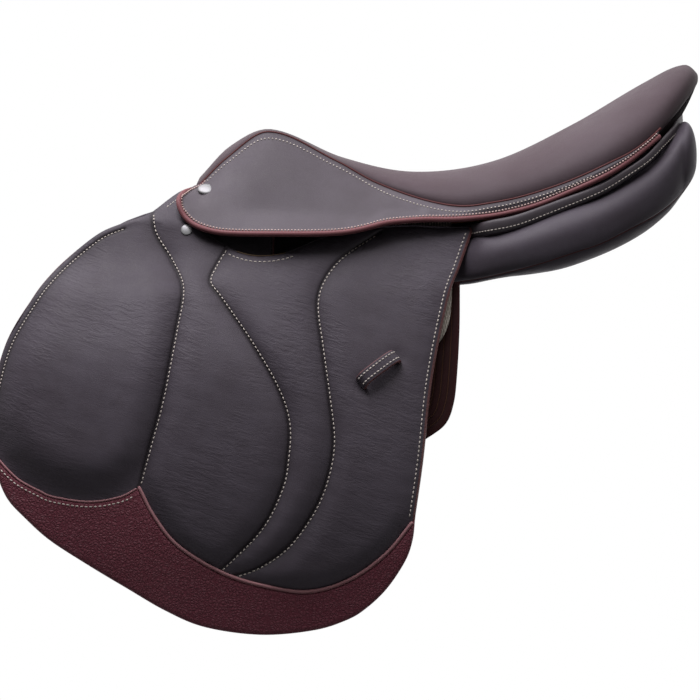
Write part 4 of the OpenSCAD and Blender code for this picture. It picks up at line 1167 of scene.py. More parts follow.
class SADDLE_OT_skirts(bpy.types.Operator):
    """Make the skirts with their welt, piping and stitches"""
    bl_idname = "saddle.skirts"
    bl_label = "Skirts"

    def execute(self, context):
        edging = context.scene.saddle_edging
        pitch, long, thick = edge_stitch(context)
        xs = np.concatenate([TIP_X + TIP_STEPS, np.linspace(-174, SKIRT_END, 104)])
        grid = np.array([skirt_column(x) for x in xs])
        normal = grid_normals(grid)
        points, faces = plate(grid, grid + np.array([0, -0.7, -0.7]) * SKIRT_T)
        # Painted shade in the seam mark: darker along the skirt's top edge under the welt, over a band that widens
        # toward the tail
        run = np.linalg.norm(grid - grid[:, :1], axis=2)
        deep = lerp(1.6, 6.5, ease((xs - 20) / 60))[:, None]
        shade = (np.exp(-(run / deep) ** 2) * ease((xs + 176) / 10)[:, None]).ravel()
        marks = {"rim": np.zeros(len(points)), "seam": np.concatenate([shade, shade])}
        pipe, path = edging.piping / MM / 2, skirt_pipe_path()
        swell = ease((np.arange(len(path)) * PIPE_STEP - 12) / 18)
        piping = tube(path, pipe * lerp(0.15, 1.0, swell), up=(0, 1, 0.4))
        welt_xs = np.concatenate([np.linspace(-SEAT_FRONT + 3, -150, 14), np.linspace(-146, SKIRT_END + 2, 120)])
        welt = np.array([(x, float(seat_half(x)) + 1.3, float(seat_low(x)) + 0.6) for x in welt_xs])
        welt = tube(resample(welt, PIPE_STEP), edging.welt / MM / 2, up=(0, 1, 0))
        upper, upper_n = [], []
        for x, column, far, n in zip(xs, grid, run, normal):
            if UPPER_FROM < x < UPPER_TO:
                fall = column[0, 2] - np.interp(x, *UPPER_FALL)
                down = np.interp(-fall, -column[:, 2], far)
                upper.append(along(column, lerp(UPPER_IN, down, float(ease((x + 40) / 30)))))
                upper_n.append(n[6])
        row = stitch_row(upper, upper_n, pitch, long * 0.72, thick * 1.5, 0.3)
        hem = hem_stitch_line(path, pipe + 0.9, xs, grid, normal)
        hem_row = stitch_row(*hem, pitch * 0.86, long * 0.8, thick * 1.9, 0.45)
        middle = fold(HINGE_X)
        over = {"body": "skirt_{}_body", "hinge": (middle - HINGE_OUT * 5, middle + HINGE_OUT * 9)}
        leather = (points, faces, marks)
        pair("skirt_leather", leather, "painted-light skirt leather", "dark_leather", ("skirt", "skirt_lobe"), **over)
        pair("skirt_piping", piping, "piping leather", "wine_leather", **over)
        pair("skirt_stitching", row, "thread", "webbing", **over)
        pair("skirt_hem_stitching", hem_row, "rose thread", "webbing", **over)
        pair("seat_welt", welt, "welt leather", "wine_leather")
        return {"FINISHED"}


# Flaps

SEAM_STEP, EDGE_STEP = 2.6, 3.0
SEWN_FRONT, SEWN_TOP, FRONT_IN, TOP_IN, BACK_IN = slice(21, -4), slice(2, 9), 5.4, 4.8, 5.0
TUCK_FRONT, TUCK_BACK, TUCK_DOWN = (-338.5, -135), (8.4, -183), 5.0
KEEPER_SPOT, KEEPER_SLANT, KEEPER_LEN, KEEPER_W = (-21.0, -57.0), math.radians(38), 39.0, 12.0


def flap_trim_line(step):
    """Upper edge of the trim, from the flap's front to its back."""
    return np.vstack([curve(TRIM_FORE, step)[:-1], curve(TRIM_AFT, step)])


def rise(d, w):
    """Round rise from 0 at an edge to 1 at distance w."""
    return 1 - (1 - clamp(d / w, 0, 1)) ** 2


class FlapForm:
    """Outline, seams and padded face of a flap."""

    def __init__(self, padding):
        self.knee, self.mid, self.rear = (curve(line, SEAM_STEP) for line in (KNEE_LINE, MID_LINE, BACK_LINE))
        self.trim = flap_trim_line(SEAM_STEP)
        low = self.trim + np.array([0, -TUCK_DOWN])
        low[0], low[-1] = TUCK_FRONT, TUCK_BACK
        front, back, head = (curve(line, EDGE_STEP) for line in (FLAP_EDGE, FLAP_BACK, FLAP_HEAD))
        self.front_edge, self.back_edge, self.head = front, back, head
        self.fore = beside(front[SEWN_FRONT], FRONT_IN)
        self.loop = np.vstack([front[:-1], low[::2], back[1:-1], head[:-1]])
        self.outer = np.vstack([self.loop, self.loop[:1]])
        self.knee_rise, self.panel_rise = padding.knee / MM, padding.panel / MM
        self.groove = padding.groove / MM
        along_keeper = np.array([math.cos(KEEPER_SLANT), math.sin(KEEPER_SLANT)])
        self.keeper_ends = [np.array(KEEPER_SPOT) + along_keeper * s * (KEEPER_LEN / 2 - 2) for s in (-1, 1)]

    def pad(self, x, z):
        """Rise of the padding, and distance from the nearest seam."""
        d_knee, d_mid, d_rear = (distance(x, z, q) for q in (self.knee, self.mid, self.rear))
        d_edge, d_trim = distance(x, z, self.outer), distance(x, z, self.trim)
        ahead = x < np.interp(-z, -self.knee[:, 1], self.knee[:, 0])
        top = np.where(ahead, self.knee_rise, self.panel_rise)
        w = np.where(ahead, 28.0, 20.0)
        d_edge = np.where(ahead, np.maximum(d_edge - 5.0, 0), d_edge)
        puff = top * rise(d_edge, w * 1.15) * rise(d_knee, np.where(ahead, 25.0, 18.0))
        puff = puff * rise(d_mid, w) * rise(d_rear, w) * rise(d_trim, np.where(ahead, 44.0, 16.0))
        puff = puff * lerp(0.3, 1.0, ease((52 - z) / 100))
        return puff, np.minimum(np.minimum(d_knee, d_mid), np.minimum(d_rear, distance(x, z, self.fore)))

    def face(self, x, z):
        x, z = np.asarray(x, float), np.asarray(z, float)
        puff, d_seam = self.pad(x, z)
        soft = BLOCK_ROOM * ease((BLOCK_X - x) / BLOCK_RUN) * (ease((60 - z) / 130) - ease((20 - z) / 40))
        y = flap_face(x, z) + soft + puff - self.groove * np.exp(-(d_seam / 1.1) ** 2)
        d_back = distance(x, z, self.back_edge)
        y = y - 0.45 * np.exp(-((d_back - 17) / 3.0) ** 2) * ease((20 - z) / 30)
        for end, deep in zip(self.keeper_ends, (3.0, 1.8)):
            y = y - deep * np.exp(-((x - end[0]) ** 2 + (z - end[1]) ** 2) / 46.0)
        ripple = np.sin(x * 0.11 + z * 0.37) * np.sin(z * 0.061 - x * 0.047 + 1.3)
        corner = 2.4 * ease((x + 60) / 50) - 3.0 * ease((x - 30) / 25)
        y = y - (4.0 + corner) * ease((z - 2) / 46) * ease((x + 190) / 40)
        return y + 0.22 * ripple * rise(d_seam, 12.0)


DIP_FROM, DIP_TO = -149, -93
FLAP_BEND = ((-60.0, 122.0, 41.0), (-60.0, 122.0, 12.0))


class SADDLE_OT_flaps(bpy.types.Operator):
    """Make the flaps with their padding and seams"""
    bl_idname = "saddle.flaps"
    bl_label = "Flaps"

    def execute(self, context):
        form = FlapForm(context.scene.saddle_padding)
        seams = [form.knee, form.mid, form.rear, form.fore]
        points, faces, marks = leaf([form.loop], seams, form.face, flap_in, rim=2.8)
        bare = distance(points[:, 0], points[:, 2], form.head[3:])
        broad = 1 - clamp(distance(points[:, 0], points[:, 2], form.back_edge[:-1]) / 5.0, 0, 1)
        front = ease((-60 - points[:, 0]) / 30)
        thin = lerp(1.0, 0.62 - 0.2 * ease((points[:, 2] - 30) / 30), front)
        marks["rim"] = np.maximum(marks["rim"] * ease((bare - 2) / 4) * thin, broad)
        pitch, long, thick = wide = seam_stitch(context)
        close = (pitch * 0.84, long * 0.84, thick)
        arc = form.head[(form.head[:, 0] > DIP_FROM) & (form.head[:, 0] < DIP_TO)]
        lines = ((form.knee[1:-1], 1.5, wide), (form.mid[1:-1], 1.3, wide), (form.rear[2:-1], 1.3, wide),
                 (form.front_edge[SEWN_FRONT], FRONT_IN, close), (form.back_edge[:-2], BACK_IN, wide),
                 (arc, BACK_IN, wide), (form.front_edge[SEWN_TOP], TOP_IN, close))
        rows = [sew(beside(line, shift), form.face, sizes, 0.25) for line, shift, sizes in lines]
        spot, n = on_leaf(arc[2:-2], form.face)
        raw = tube(spot - n * 0.7 + np.array([0, 0, 0.2]), 0.5, sides=8, up=(0, 1, 0))
        over = {"body": "flap_{}_body", "hinge": FLAP_BEND}
        leather = (points, faces, marks)
        for flap in pair("flap_leather", leather, "flap leather", "dark_leather", ("flap", "flap_top"), **over):
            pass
        pair("flap_stitching", merge(rows), "thread", "webbing", **over)
        pair("flap_raw_edge", raw, "raw edge", "dark_leather")
        return {"FINISHED"}


TRIM_OVER, TRIM_UNDER = 2.2, 0.6


class SADDLE_OT_trims(bpy.types.Operator):
    """Make the grained trim along the flaps' lower edges"""
    bl_idname = "saddle.trims"
    bl_label = "Flap trims"

    def execute(self, context):
        bead = context.scene.saddle_edging.bead / MM / 2
        loop = np.vstack([flap_trim_line(EDGE_STEP)[1:-1][::-1], curve(FLAP_LOW, EDGE_STEP)])

        def face(x, z):
            return flap_face(x, z) + TRIM_OVER

        def under(x, z):
            return flap_in(x, z) - TRIM_UNDER

        trim = leaf([loop], [], face, under, rim=3.2)
        fore, aft = curve(TRIM_FORE, 2.4), curve(TRIM_AFT, 2.4)
        beads = []
        for line, shift, sunk, radius in ((aft[:-1], 0.6, 0.9, bead), (fore[1:-1], 0.4, 1.0, bead * 0.62)):
            spot, n = on_leaf(beside(line, shift), face)
            beads.append(tube(spot - n * sunk, radius, up=(0, 1, 0)))
        row = sew(beside(fore[2:-3], -3.8), face, seam_stitch(context), 0.2)
        body = "flap_{}_body"
        pair("flap_trim_leather", trim, "wine leather", "wine_leather", ("flap_trim",), body)
        pair("flap_trim_bead", merge(beads), "wine edge", "wine_leather", body=body)
        pair("flap_trim_stitching", row, "thread", "webbing", body=body)
        return {"FINISHED"}


# Keepers

KEEPER_T, KEEPER_SOFT, KEEPER_SEWN = 3.0, 0.9, 3.0


def keeper_place(p):
    """Points of the keeper, along it, out of the flap and across it, to the frame."""
    p = np.asarray(p, float)
    s, lean = KEEPER_SLANT, barrel_lean(KEEPER_SPOT[1])
    x = p[..., 0] * math.cos(s) - p[..., 2] * math.sin(s)
    z = p[..., 0] * math.sin(s) + p[..., 2] * math.cos(s)
    y = p[..., 1] * math.cos(lean) - z * math.sin(lean)
    z = p[..., 1] * math.sin(lean) + z * math.cos(lean)
    base = float(flap_face(np.float64(KEEPER_SPOT[0]), np.float64(KEEPER_SPOT[1]))) + 5
    return np.stack([x + KEEPER_SPOT[0], y + base, z + KEEPER_SPOT[1]], -1)


class SADDLE_OT_keepers(bpy.types.Operator):
    """Make the loops for the ends of the stirrup leathers"""
    bl_idname = "saddle.keepers"
    bl_label = "Leather keepers"

    def execute(self, context):
        sew = context.scene.saddle_stitching
        rising = [(-18.4, -4), (-18.3, 1), (-17.6, 5.4), (-15.0, 8.4), (-10, 9.8), (0, 10.4)]
        arch = curve(rising + [(-x, y) for x, y in rising[-2::-1]], 1.3)
        t = tangents(arch)
        out = np.stack([-t[:, 1], t[:, 0]], 1)
        half, thick, soft = KEEPER_W / 2, KEEPER_T / 2, KEEPER_SOFT
        section = []
        for cw, ct, a0 in ((half - soft, thick - soft, 0), (soft - half, thick - soft, 90),
                           (soft - half, soft - thick, 180), (half - soft, soft - thick, 270)):
            for a in np.radians(np.linspace(a0, a0 + 90, 5)):
                section.append((cw + soft * math.cos(a), ct + soft * math.sin(a)))
            if a0 == 0:
                section += [(v, thick + 0.25 * (1 - (v / half) ** 2)) for v in np.linspace(half - 1.6, 1.6 - half, 7)]
        section = np.array(section)
        rings = [[(p[0] + n[0] * b, p[1] + n[1] * b, a) for a, b in section] for p, n in zip(arch, out)]
        points, faces = loft(keeper_place(rings))
        rim = np.tile(clamp((np.abs(section[:, 0]) - half + 1.6) / 1.6, 0, 1), len(arch))
        marks = {"rim": rim, "seam": np.zeros(len(rim))}
        rows = []
        for w in (-KEEPER_SEWN, KEEPER_SEWN):
            keep = arch[:, 1] > 5.0
            spot = np.stack([arch[keep, 0], arch[keep, 1], np.full(keep.sum(), w)], 1)
            n = np.stack([out[keep, 0], out[keep, 1], np.zeros(keep.sum())], 1)
            face = keeper_place(spot + n * (thick + 0.15))
            turned = keeper_place(spot + n * (thick + 1.15)) - face
            rows.append(stitch_row(face, turned, 3.3, 2.4, sew.fine_thread / MM * 1.3, 0.25))
        body, strap = "flap_{}_body", (points, faces, marks)
        pair("keeper_strap", strap, "strap leather", "dark_leather", ("leather_keeper",), body)
        pair("keeper_stitching", merge(rows), "thread", "webbing", body=body)
        return {"FINISHED"}


# Knee blocks and sweat flaps

SWEAT_FRONT = [(-14, -216), (20, -290), (60, -315), (100, -320), (140, -310), (170, -283), (190, -240), (200, -195)]
SWEAT_REAR = [
    (-14, 49), (26, 48), (67, 45), (87, 42), (103, 35), (114, 20), (140, -25), (165, -75), (185, -120), (200, -165)]
KNEE_MID, KNEE_TALL, KNEE_ROUND = -73.0, 77.0, 26.0


class SADDLE_OT_knee_blocks(bpy.types.Operator):
    """Make the stuffed knee blocks under the flaps"""
    bl_idname = "saddle.knee_blocks"
    bl_label = "Knee blocks"

    def execute(self, context):
        rows = KNEE_MID + KNEE_TALL * np.sin(np.linspace(math.pi / 2, -math.pi / 2, 52))
        u = np.linspace(-1, 1, 25)
        front, back = [], []
        for z in rows:
            a, b = float(at(FLAP_FRONT, -z)) + 18, float(at(SEAM_KNEE, -z)) - 10
            off = KNEE_TALL - abs(z - KNEE_MID)
            tuck = KNEE_ROUND - math.sqrt(KNEE_ROUND ** 2 - max(0.0, KNEE_ROUND - off) ** 2)
            x = lerp(a + tuck, b - tuck, (u + 1) / 2)
            zz = np.full(len(x), z)
            up = max(0.0, 1 - abs((z - KNEE_MID) / KNEE_TALL) ** 4)
            base = barrel(x, zz) + 0.5
            front.append(np.stack([x, base + 1.5 + (stand(x, zz) - 3) * (1 - np.abs(u) ** 4) * up, zz], 1))
            back.append(np.stack([x, base, zz], 1))
        for block in pair("knee_pad", plate(front, back), "calf leather", "dark_leather", ("knee_block",)):
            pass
        return {"FINISHED"}


class SADDLE_OT_sweat_flaps(bpy.types.Operator):
    """Make the sweat flaps with their pressed lines"""
    bl_idname = "saddle.sweat_flaps"
    bl_label = "Sweat flaps"

    def execute(self, context):
        z = np.linspace(14, -199, 90)
        ahead = resample(np.stack([at(SWEAT_FRONT, -z), z], 1), 3.0)
        behind = resample(np.stack([at(SWEAT_REAR, -z), z], 1)[::-1], 3.0)
        bottom = resample([ahead[-1], behind[0]], 3.0)[1:-1]
        top = resample([behind[-1], ahead[0]], 3.0)[1:-1]
        loop = np.vstack([ahead, bottom, behind, top])
        rear = behind[::-1]
        lines = [beside(rear[1:int(len(rear) * 0.8)], -d) for d in (7.0, 13.0, 19.0)]

        def face(x, zz):
            return barrel(x, zz) - 0.45 * np.exp(-(nearest(x, zz, lines) / 0.9) ** 2)

        def under(x, zz):
            return barrel(x, zz) - SWEAT_T

        flap = leaf([loop], lines, face, under, rim=1.6, fill=8.0, beside_line=(0.8, 2.0))
        # The painted shade along the pressed lines is kept lighter than on the flaps
        flap[2]["seam"] *= 0.6
        pressed = []
        for q in lines:
            spot, n = on_leaf(q[q[:, 1] < 10], face)
            pressed.append(tube(spot + n * 0.05, 0.4, sides=6, up=(0, 1, 0)))
        pair("sweat_leather", flap, "sweat leather", "sweat_leather", ("sweat_flap",))
        pair("sweat_lines", merge(pressed), "sweat line", "sweat_leather")
        return {"FINISHED"}


# Panels
SEAM_OFFS = np.array([5, 3, 1.8, 1.0, 0.5, 0, -0.5, -1.0, -1.8, -3, -5])
RING_OVER, RING_UNDER = 40, 31
SEAM_POINT = RING_OVER + 5
SEAM_FROM, SEAM_TO = 57, 240
TAIL_RUN, TAIL_RISE, TAIL_ROUND = 14.0, 1.4, 0.07


def panel_ring(x, depth):
    """Section of the panel, with its points gathered at the pressed seam."""
    fan = np.radians(np.linspace(60, -80, 300))
    seam_x = clamp(x, SEAM_FROM, SEAM_TO)
    line = panel_point(np.full(300, seam_x), fan)
    a = float(np.interp(-at(PANEL_SEAM, seam_x), -line[:, 2], fan))
    two = panel_point(np.full(2, x), np.array([a - 0.01, a + 0.01]))
    speed = max(np.linalg.norm(two[1] - two[0]) / 0.02, 4.0)
    close = a + SEAM_OFFS / speed
    angles = np.concatenate([np.linspace(math.pi, close[0], RING_OVER, endpoint=False), close,
                             np.linspace(close[-1], -math.pi, RING_UNDER)[1:-1]])
    ring = panel_point(np.full(len(angles), x), angles)
    push = depth * np.exp(-((angles - a) * speed / 1.3) ** 2)
    return ring - unit(ring - ring.mean(0)) * push[:, None]


class SADDLE_OT_panels(bpy.types.Operator):
    """Make the stuffed panels with their seam"""
    bl_idname = "saddle.panels"
    bl_label = "Panels"

    def execute(self, context):
        depth = context.scene.saddle_padding.panel_groove / MM
        xs = np.concatenate([np.linspace(-190, 40, 42), np.linspace(44, 240, 72)])
        rings = [panel_ring(x, depth) for x in xs]
        last, first = rings[-1], rings[0]
        tail = []
        for a in np.linspace(0.08, 1.5, 14):
            run = TAIL_RUN * math.sin(a)
            tail.append(last.mean(0) + (last - last.mean(0)) * math.cos(a)
                        + np.array([run, 0, TAIL_RISE * run - TAIL_ROUND * run ** 2]))
        lead = [first.mean(0) + (first - first.mean(0)) * s - np.array([d, 0, 0]) for s, d in ((0.5, 2.6), (0.85, 1.4))]
        sewn = [ring for ring, x in zip(rings, xs) if x > -120] + tail[:6]
        piping = tube(resample([ring[SEAM_POINT] for ring in sewn], 3.0), 0.5, sides=8)
        for panel in pair("panel_leather", loft(lead + rings + tail), "calf leather", "dark_leather", ("panel",)):
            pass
        pair("panel_piping", piping, "welt leather", "wine_leather")
        return {"FINISHED"}


# Cantle and pommel

STRIP_TURN, STRIP_DROP = 58.5, 34


class SADDLE_OT_cantle(bpy.types.Operator):
    """Make the back of the cantle and the rolled facing under it"""
    bl_idname = "saddle.cantle"
    bl_label = "Cantle back and facing"

    def execute(self, context):
        wide, long = SEAT_W / 2, SEAT_BACK - ROUND_X
        front, back = [], []
        for a in np.radians(np.linspace(-STRIP_TURN, STRIP_TURN, 73)):
            c, s = math.cos(a), math.sin(a)
            z = float(seat_low(ROUND_X + long * c)) - COVER_T - 0.65
            top = np.array([ROUND_X + (long - 0.7) * c, (wide - 1) * s, z])
            low = np.array([ROUND_X + (long - 17) * c, (wide - 12) * s, z - STRIP_DROP * c ** 0.8])
            t = np.linspace(0, 1, 9)[:, None]
            crown = np.array([c, s, 0.2]) * 1.2 * np.sin(math.pi * t)
            front.append(lerp(top, low, t) + crown)
            back.append(lerp(top - np.array([4 * c, 4 * s, 0]), low - np.array([2 * c, 2 * s, 0]), t))
        # The back under the cantle is near-black, a painted shadow
        lone("cantle_strip", plate(front, back), "painted-shadow leather", ("cantle_back",))
        spot = np.array([(x, y, float(edge(x)) - d) for x, y, d, _ in FACING])
        path = curve(np.vstack([spot, spot[-2::-1] * np.array([1, -1, 1])]), 3.0)
        tall = np.interp(path[:, 0], [f[0] for f in FACING], [f[3] for f in FACING])
        roll = tube(path, tall * 0.5, sides=20, flat=2.0)
        lone("cantle_roll", roll, "roll leather", ("cantle_facing",))
        t = tangents(path)
        out = unit(np.stack([-t[:, 1], t[:, 0], np.zeros(len(t))], 1))
        spot = path + out * tall[:, None] * 0.465 + np.array([0, 0, -0.36]) * tall[:, None]
        row = stitch_row(spot, unit(out + np.array([0, 0, -0.2])), *edge_stitch(context))
        lone("cantle_stitching", row, "thread")
        return {"FINISHED"}


ARCH_HALF, ARCH_Z, POINT_Z, POCKET_ROOM = RAIL_SIDE - 9.5, SIDE_H - 19, SIDE_H - 39, 3.7
HEAD_COVER = [
    (102.5, 40), (98, 50), (91, 60), (83, 70), (75, 78), (66, 85), (56, 90.5), (40, 92), (20, 92.5), (0, 92.5)]


def head_line(x, drop, count=37):
    """Arch of the tree head in the YZ plane, from the near point over to the off one."""
    point_y = float(barrel(0, POINT_Z)) - POCKET_ROOM
    a, h = ARCH_HALF - drop, float(seat_z(np.float64(x), 0.0)) - 9 - ARCH_Z - drop
    turn = np.linspace(0, math.pi, count)
    over = np.stack([-a * np.cos(turn), ARCH_Z + h * np.sin(turn)], 1)
    leg = np.array([(lerp(point_y, ARCH_HALF, t) - drop * 0.6, lerp(POINT_Z, ARCH_Z, t) - drop * 0.75)
                    for t in (0, 0.25, 0.5)])
    return np.vstack([leg * np.array([-1, 1]), over, leg[::-1]])


def turned(p):
    """Points of a leaf in the XZ plane, brought across the front."""
    return np.stack([-p[:, 1], p[:, 0], p[:, 2]], 1)


GULLET_BACK, GULLET_END, GULLET_ACROSS, GULLET_T = 230.0, 246.5, 15, 2.0


def gullet_form():
    """Sheet under the seat between the rails, carried back to the cantle roll."""
    across = np.linspace(-1, 1, GULLET_ACROSS)
    front = []
    xs = np.concatenate([np.linspace(HEAD_X + 0.3, CANTLE_X - 0.3, 60), np.linspace(CANTLE_X + 2, GULLET_BACK, 12)])
    for x in xs:
        low = float(rail_top(x)) - TREE_T - 2.4 * float(ease((x - 186) / 10))
        front.append(np.stack([np.full(GULLET_ACROSS, x), across * (float(rail_in(x)) - 0.3),
                               np.full(GULLET_ACROSS, low)], 1))
    last = front[-1]
    to_x = GULLET_END - 4.5 * (last[:, 1] / 46) ** 2
    roll = np.stack([to_x, last[:, 1], edge(to_x) - 18.2], 1)
    front = np.array(front + [lerp(last, roll, u) for u in (0.25, 0.5, 0.75, 1.0)])
    return plate(front, front + np.array([0, 0, GULLET_T]))


class SADDLE_OT_pommel(bpy.types.Operator):
    """Make the pommel facing, the gullet cover and the pockets of the tree's points"""
    bl_idname = "saddle.pommel"
    bl_label = "Pommel and gullet"

    def execute(self, context):
        fine = edge_stitch(context)
        at_x = SEAT_FRONT - 1.4
        sewn, inner = (resample(head_line(2 - SEAT_FRONT, drop), 3.0) for drop in (1.5, 15.0))
        cover = np.array(HEAD_COVER)
        outer = resample(np.vstack([cover * np.array([-1, 1]), cover[-2::-1]]), 3.0)

        def face(x, z):
            return np.full(len(x), at_x + 2.0)

        def under(x, z):
            return np.full(len(x), at_x)

        points, faces, marks = leaf([np.vstack([outer, inner[::-1]])], [], face, under, rim=0.8, fill=5.0,
                                    near=(0.4, 0.8, 2.0, 4.0))
        lone("pommel_leather", (turned(points), faces, marks), "flap leather", ("pommel_facing",))
        rows = []
        for line, shift in ((sewn[2:-2], -3.0), (inner[2:-2], 3.0)):
            spot, n = on_leaf(beside(line, shift), face)
            rows.append(stitch_row(turned(spot), turned(n), *fine))
        lone("pommel_stitching", merge(rows), "thread")
        lone("gullet_leather", gullet_form(), "calf leather", ("gullet_cover",))
        corner = [(-182, POINT_Z - 8), (-180.8, POINT_Z - 10.8), (-178, POINT_Z - 12), (-114, POINT_Z - 12),
                  (-111.2, POINT_Z - 10.8), (-110, POINT_Z - 8), (-110, POINT_Z + 20), (-182, POINT_Z + 20),
                  (-182, POINT_Z - 8)]

        def lies(x, z):
            return barrel(0, z) - 1.5

        def inside_face(x, z):
            return lies(x, z) - 2.0

        pocket = leaf([resample(corner, 2.5)[:-1]], [], lies, inside_face, rim=0.8, fill=5.0, near=(0.4, 0.8, 2.5))
        hem = resample(np.array(corner)[[7, 0, 1, 2, 3, 4, 5, 6]], 2.0)
        pair("point_leather", pocket, "strap leather", "dark_leather", ("point_pocket",))
        pair("point_stitching", sew(beside(hem, 2.6), lies, fine), "dark thread", "webbing")
        return {"FINISHED"}


# Girth straps

FRONT_X, REAR_X, STRAP_TOP, STRAP_LEN, WEB_LOW, WEB_TURN = -66.0, -14.0, -30.0, 170.0, -60.0, SIDE_H - 21
HOLE_FIRST, HOLE_PITCH, HOLE_COUNT, HOLE_R = -86, 18, 6, 2.5
STITCH_IN, CROSS_Z = 2.6, -57.0
WEBS = {
    "front": ([(WEB_LOW, FRONT_X), (-20, -58), (50, -36)], [(WEB_LOW, 13), (-20, 16), (50, 16)]),
    "rear": ([(WEB_LOW, REAR_X), (-37, 5), (-13, 14), (50, 16)], [(WEB_LOW, 13), (-37, 24), (-13, 26), (50, 26)])}


def web_form(mids, halves):
    """Grids of a web's two faces, from the rail down to its strap."""
    top, reach = mids[-1][1], halves[-1][1]
    over = max(float(rail_top(top - reach)), float(rail_top(top + reach))) + 0.3 + WEB_T / 2
    lay = WEB_LAY + WEB_T / 2
    path = [(46, over), (RAIL_SIDE + 1, over), (RAIL_SIDE + 9, over - 5),
            (float(barrel(0, WEB_TURN)) + lay - 1, WEB_TURN)]
    path += [(float(barrel(0, z)) + lay, z) for z in (48, 36, 24, 12, 0, -13, -25, -37, -48, WEB_LOW)]
    line = resample(np.array(path, float), 3.0)
    t = tangents(line)
    u = np.stack([-t[:, 1], t[:, 0]], 1) * WEB_T / 2
    x, w = at(mids, line[:, 1]), at(halves, line[:, 1])
    v = np.linspace(-1, 1, 9)
    grids = []
    for s in (1, -1):
        p = line + u * s
        grids.append(np.stack([x[:, None] + w[:, None] * v, np.repeat(p[:, :1], 9, 1), np.repeat(p[:, 1:], 9, 1)], -1))
    return grids


class SADDLE_OT_girth_straps(bpy.types.Operator):
    """Make the webs and the girth straps with their holes"""
    bl_idname = "saddle.girth_straps"
    bl_label = "Girth straps and webs"

    def execute(self, context):
        fine = edge_stitch(context)
        xs = np.linspace(HEAD_X + 0.3, CANTLE_X + 14, 80)
        y = np.linspace(-34, 34, 17)
        base = np.array([[(x, v, float(rail_top(x)) + 0.3) for v in y] for x in xs])
        lone("seat_web", plate(base + np.array([0, 0, 2.0]), base), "web", ("seat_webbing",))
        low, w = STRAP_TOP - STRAP_LEN, STRAP_W / 2
        turn = np.linspace(0, 2 * math.pi, 24, endpoint=False)

        def lies(x, z):
            return barrel(0, z) + STRAP_GAP

        def face(x, z):
            return lies(x, z) + STRAP_T

        for place, x in (("front", FRONT_X), ("rear", REAR_X)):
            corner = [(x - w, STRAP_TOP), (x - w, low + 14), (x - 9.6, low + 4.5), (x - 5.2, low), (x + 5.2, low),
                      (x + 9.6, low + 4.5), (x + w, low + 14), (x + w, STRAP_TOP), (x - w, STRAP_TOP)]
            loops = [resample(corner, 2.4)[:-1]]
            for z in (HOLE_FIRST - HOLE_PITCH * i for i in range(HOLE_COUNT)):
                tall = HOLE_R * np.sin(-turn) * math.cos(barrel_lean(z))
                loops.append(np.stack([x + HOLE_R * np.cos(-turn), z + tall], 1))
            strap = leaf(loops, [], face, lies, rim=1.1, fill=5.0, near=(0.5, 1.1, 2.4, 4.0))
            lines = [[(x + s * (w - STITCH_IN), STRAP_TOP - 3), (x + s * (w - STITCH_IN), low + 15)] for s in (-1, 1)]
            lines.append([(x - w + 4, CROSS_Z), (x + w - 4, CROSS_Z)])
            rows = [sew(resample(line, 2.0), face, fine) for line in lines]
            body = "billet_" + place + "_{}_body"
            pair("girth_web_" + place, plate(*web_form(*WEBS[place])), "web", "webbing", ("web_" + place,))
            pair("girth_strap_" + place, strap, "strap leather", "dark_leather", ("billet_" + place,), body)
            pair("girth_stitching_" + place, merge(rows), "thread", "webbing", body=body)
        return {"FINISHED"}


# Nails

UPPER_NAIL, UPPER_NAIL_R, LOWER_NAIL, LOWER_NAIL_R = (-169.8, 92.2), 7.3, (-185.2, 58.0), 4.9


def nail_head(spot, normal, radius, high=2.3):
    """Flat dome of a nail on a surface."""
    n = unit(normal)
    u = unit(np.cross(n, (1.0, 0.0, 0.2)))
    v = np.cross(n, u)
    turn = np.linspace(0, 2 * math.pi, 40, endpoint=False)
    ring = u * np.cos(turn)[:, None] + v * np.sin(turn)[:, None]
    shape = [(0.97, -1.2), (1.0, -0.3), (1.0, 0.3), (0.97, 0.8), (0.9, 1.2), (0.78, 1.55), (0.6, 1.9), (0.38, 2.15),
             (0.18, high - 0.04), (0.05, high)]
    return loft([np.asarray(spot) + ring * radius * r + n * h for r, h in shape])


class SADDLE_OT_nails(bpy.types.Operator):
    """Make the domed nails of skirts and flaps"""
    bl_idname = "saddle.nails"
    bl_label = "Nails"

    def execute(self, context):
        column = skirt_column(UPPER_NAIL[0], 60)
        i = int(np.argmin(np.abs(column[:, 2] - UPPER_NAIL[1])))
        lie = column[i + 3] - column[i - 3]
        upper = nail_head(column[i], (-0.12, -lie[2], lie[1]), UPPER_NAIL_R)
        spot, n = on_leaf(np.array([LOWER_NAIL]), FlapForm(context.scene.saddle_padding).face)
        lower = nail_head(spot[0], n[0], LOWER_NAIL_R)
        for node, (points, faces) in (("skirt", upper), ("flap", lower)):
            both = merge([(points, faces), (points * np.array([1, -1, 1]), faces)])
            lone(node + "_nail_heads", both, "nail metal", (node + "_nails",))
        return {"FINISHED"}


# Tree and metal, which keep their CAD shapes

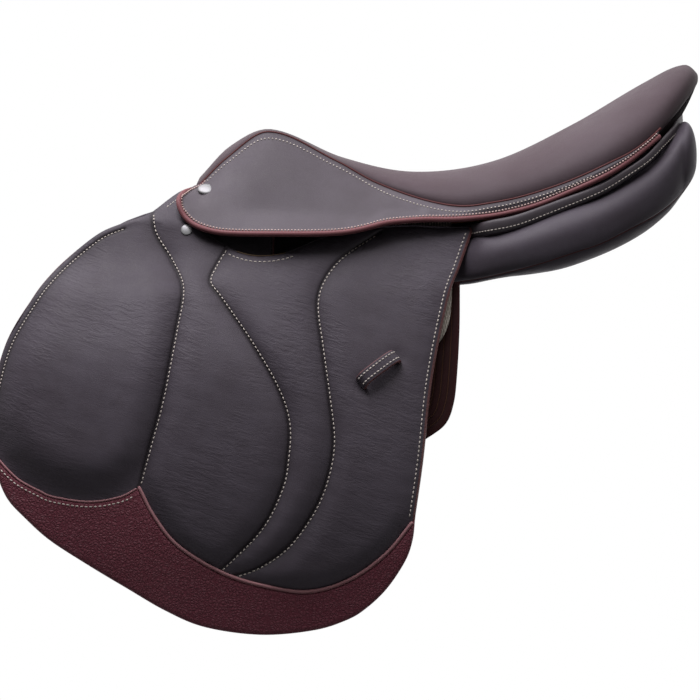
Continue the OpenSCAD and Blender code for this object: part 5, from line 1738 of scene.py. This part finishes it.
class SADDLE_OT_tree(bpy.types.Operator):
    """Finish the wood and steel that keep their shapes"""
    bl_idname = "saddle.tree"
    bl_label = "Tree and metal"

    def execute(self, context):
        plan = {"beech": ("tree_head", "tree_rail_left", "tree_rail_right", "tree_cantle"),
                "steel": ("head_plate", "head_rivets", "stirrup_bar_left", "stirrup_bar_right", "bar_catch_left",
                          "bar_catch_right", "catch_pins", "bar_rivets")}
        for name, nodes in plan.items():
            for node in nodes:
                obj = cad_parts[node]
                obj.data.materials.clear()
                obj.data.materials.append(FINISHES[name])
        return {"FINISHED"}


class SADDLE_PT_panel(bpy.types.Panel):
    """Sizes, colours and steps of the saddle"""
    bl_label = "Jumping saddle"
    bl_idname = "SADDLE_PT_panel"
    bl_space_type = "VIEW_3D"
    bl_region_type = "UI"
    bl_category = "Saddle"

    def draw(self, context):
        for group_name in GROUPS:
            box = self.layout.box()
            values = getattr(context.scene, group_name)
            for key in values.__annotations__:
                box.prop(values, key)
        for step in STEPS:
            self.layout.operator(step.bl_idname)


GROUPS = {"saddle_stitching": SaddleStitching, "saddle_padding": SaddlePadding, "saddle_edging": SaddleEdging,
          "saddle_colours": SaddleColours, "saddle_studio": SaddleStudio}
STEPS = (SADDLE_OT_finishes, SADDLE_OT_stage, SADDLE_OT_seat, SADDLE_OT_skirts, SADDLE_OT_flaps, SADDLE_OT_trims,
         SADDLE_OT_keepers, SADDLE_OT_knee_blocks, SADDLE_OT_sweat_flaps, SADDLE_OT_panels, SADDLE_OT_cantle,
         SADDLE_OT_pommel, SADDLE_OT_girth_straps, SADDLE_OT_nails, SADDLE_OT_tree)


def register():
    for cls in (*GROUPS.values(), *STEPS, SADDLE_PT_panel):
        bpy.utils.register_class(cls)
    for name, cls in GROUPS.items():
        setattr(bpy.types.Scene, name, PointerProperty(type=cls))


def unregister():
    for name in GROUPS:
        delattr(bpy.types.Scene, name)
    for cls in (SADDLE_PT_panel, *reversed(STEPS), *reversed(GROUPS.values())):
        bpy.utils.unregister_class(cls)


def main():
    register()
    for step in STEPS:
        area, verb = step.bl_idname.split(".")
        getattr(getattr(bpy.ops, area), verb)()
    bpy.context.view_layer.update()


if __name__ == "__main__":
    main()
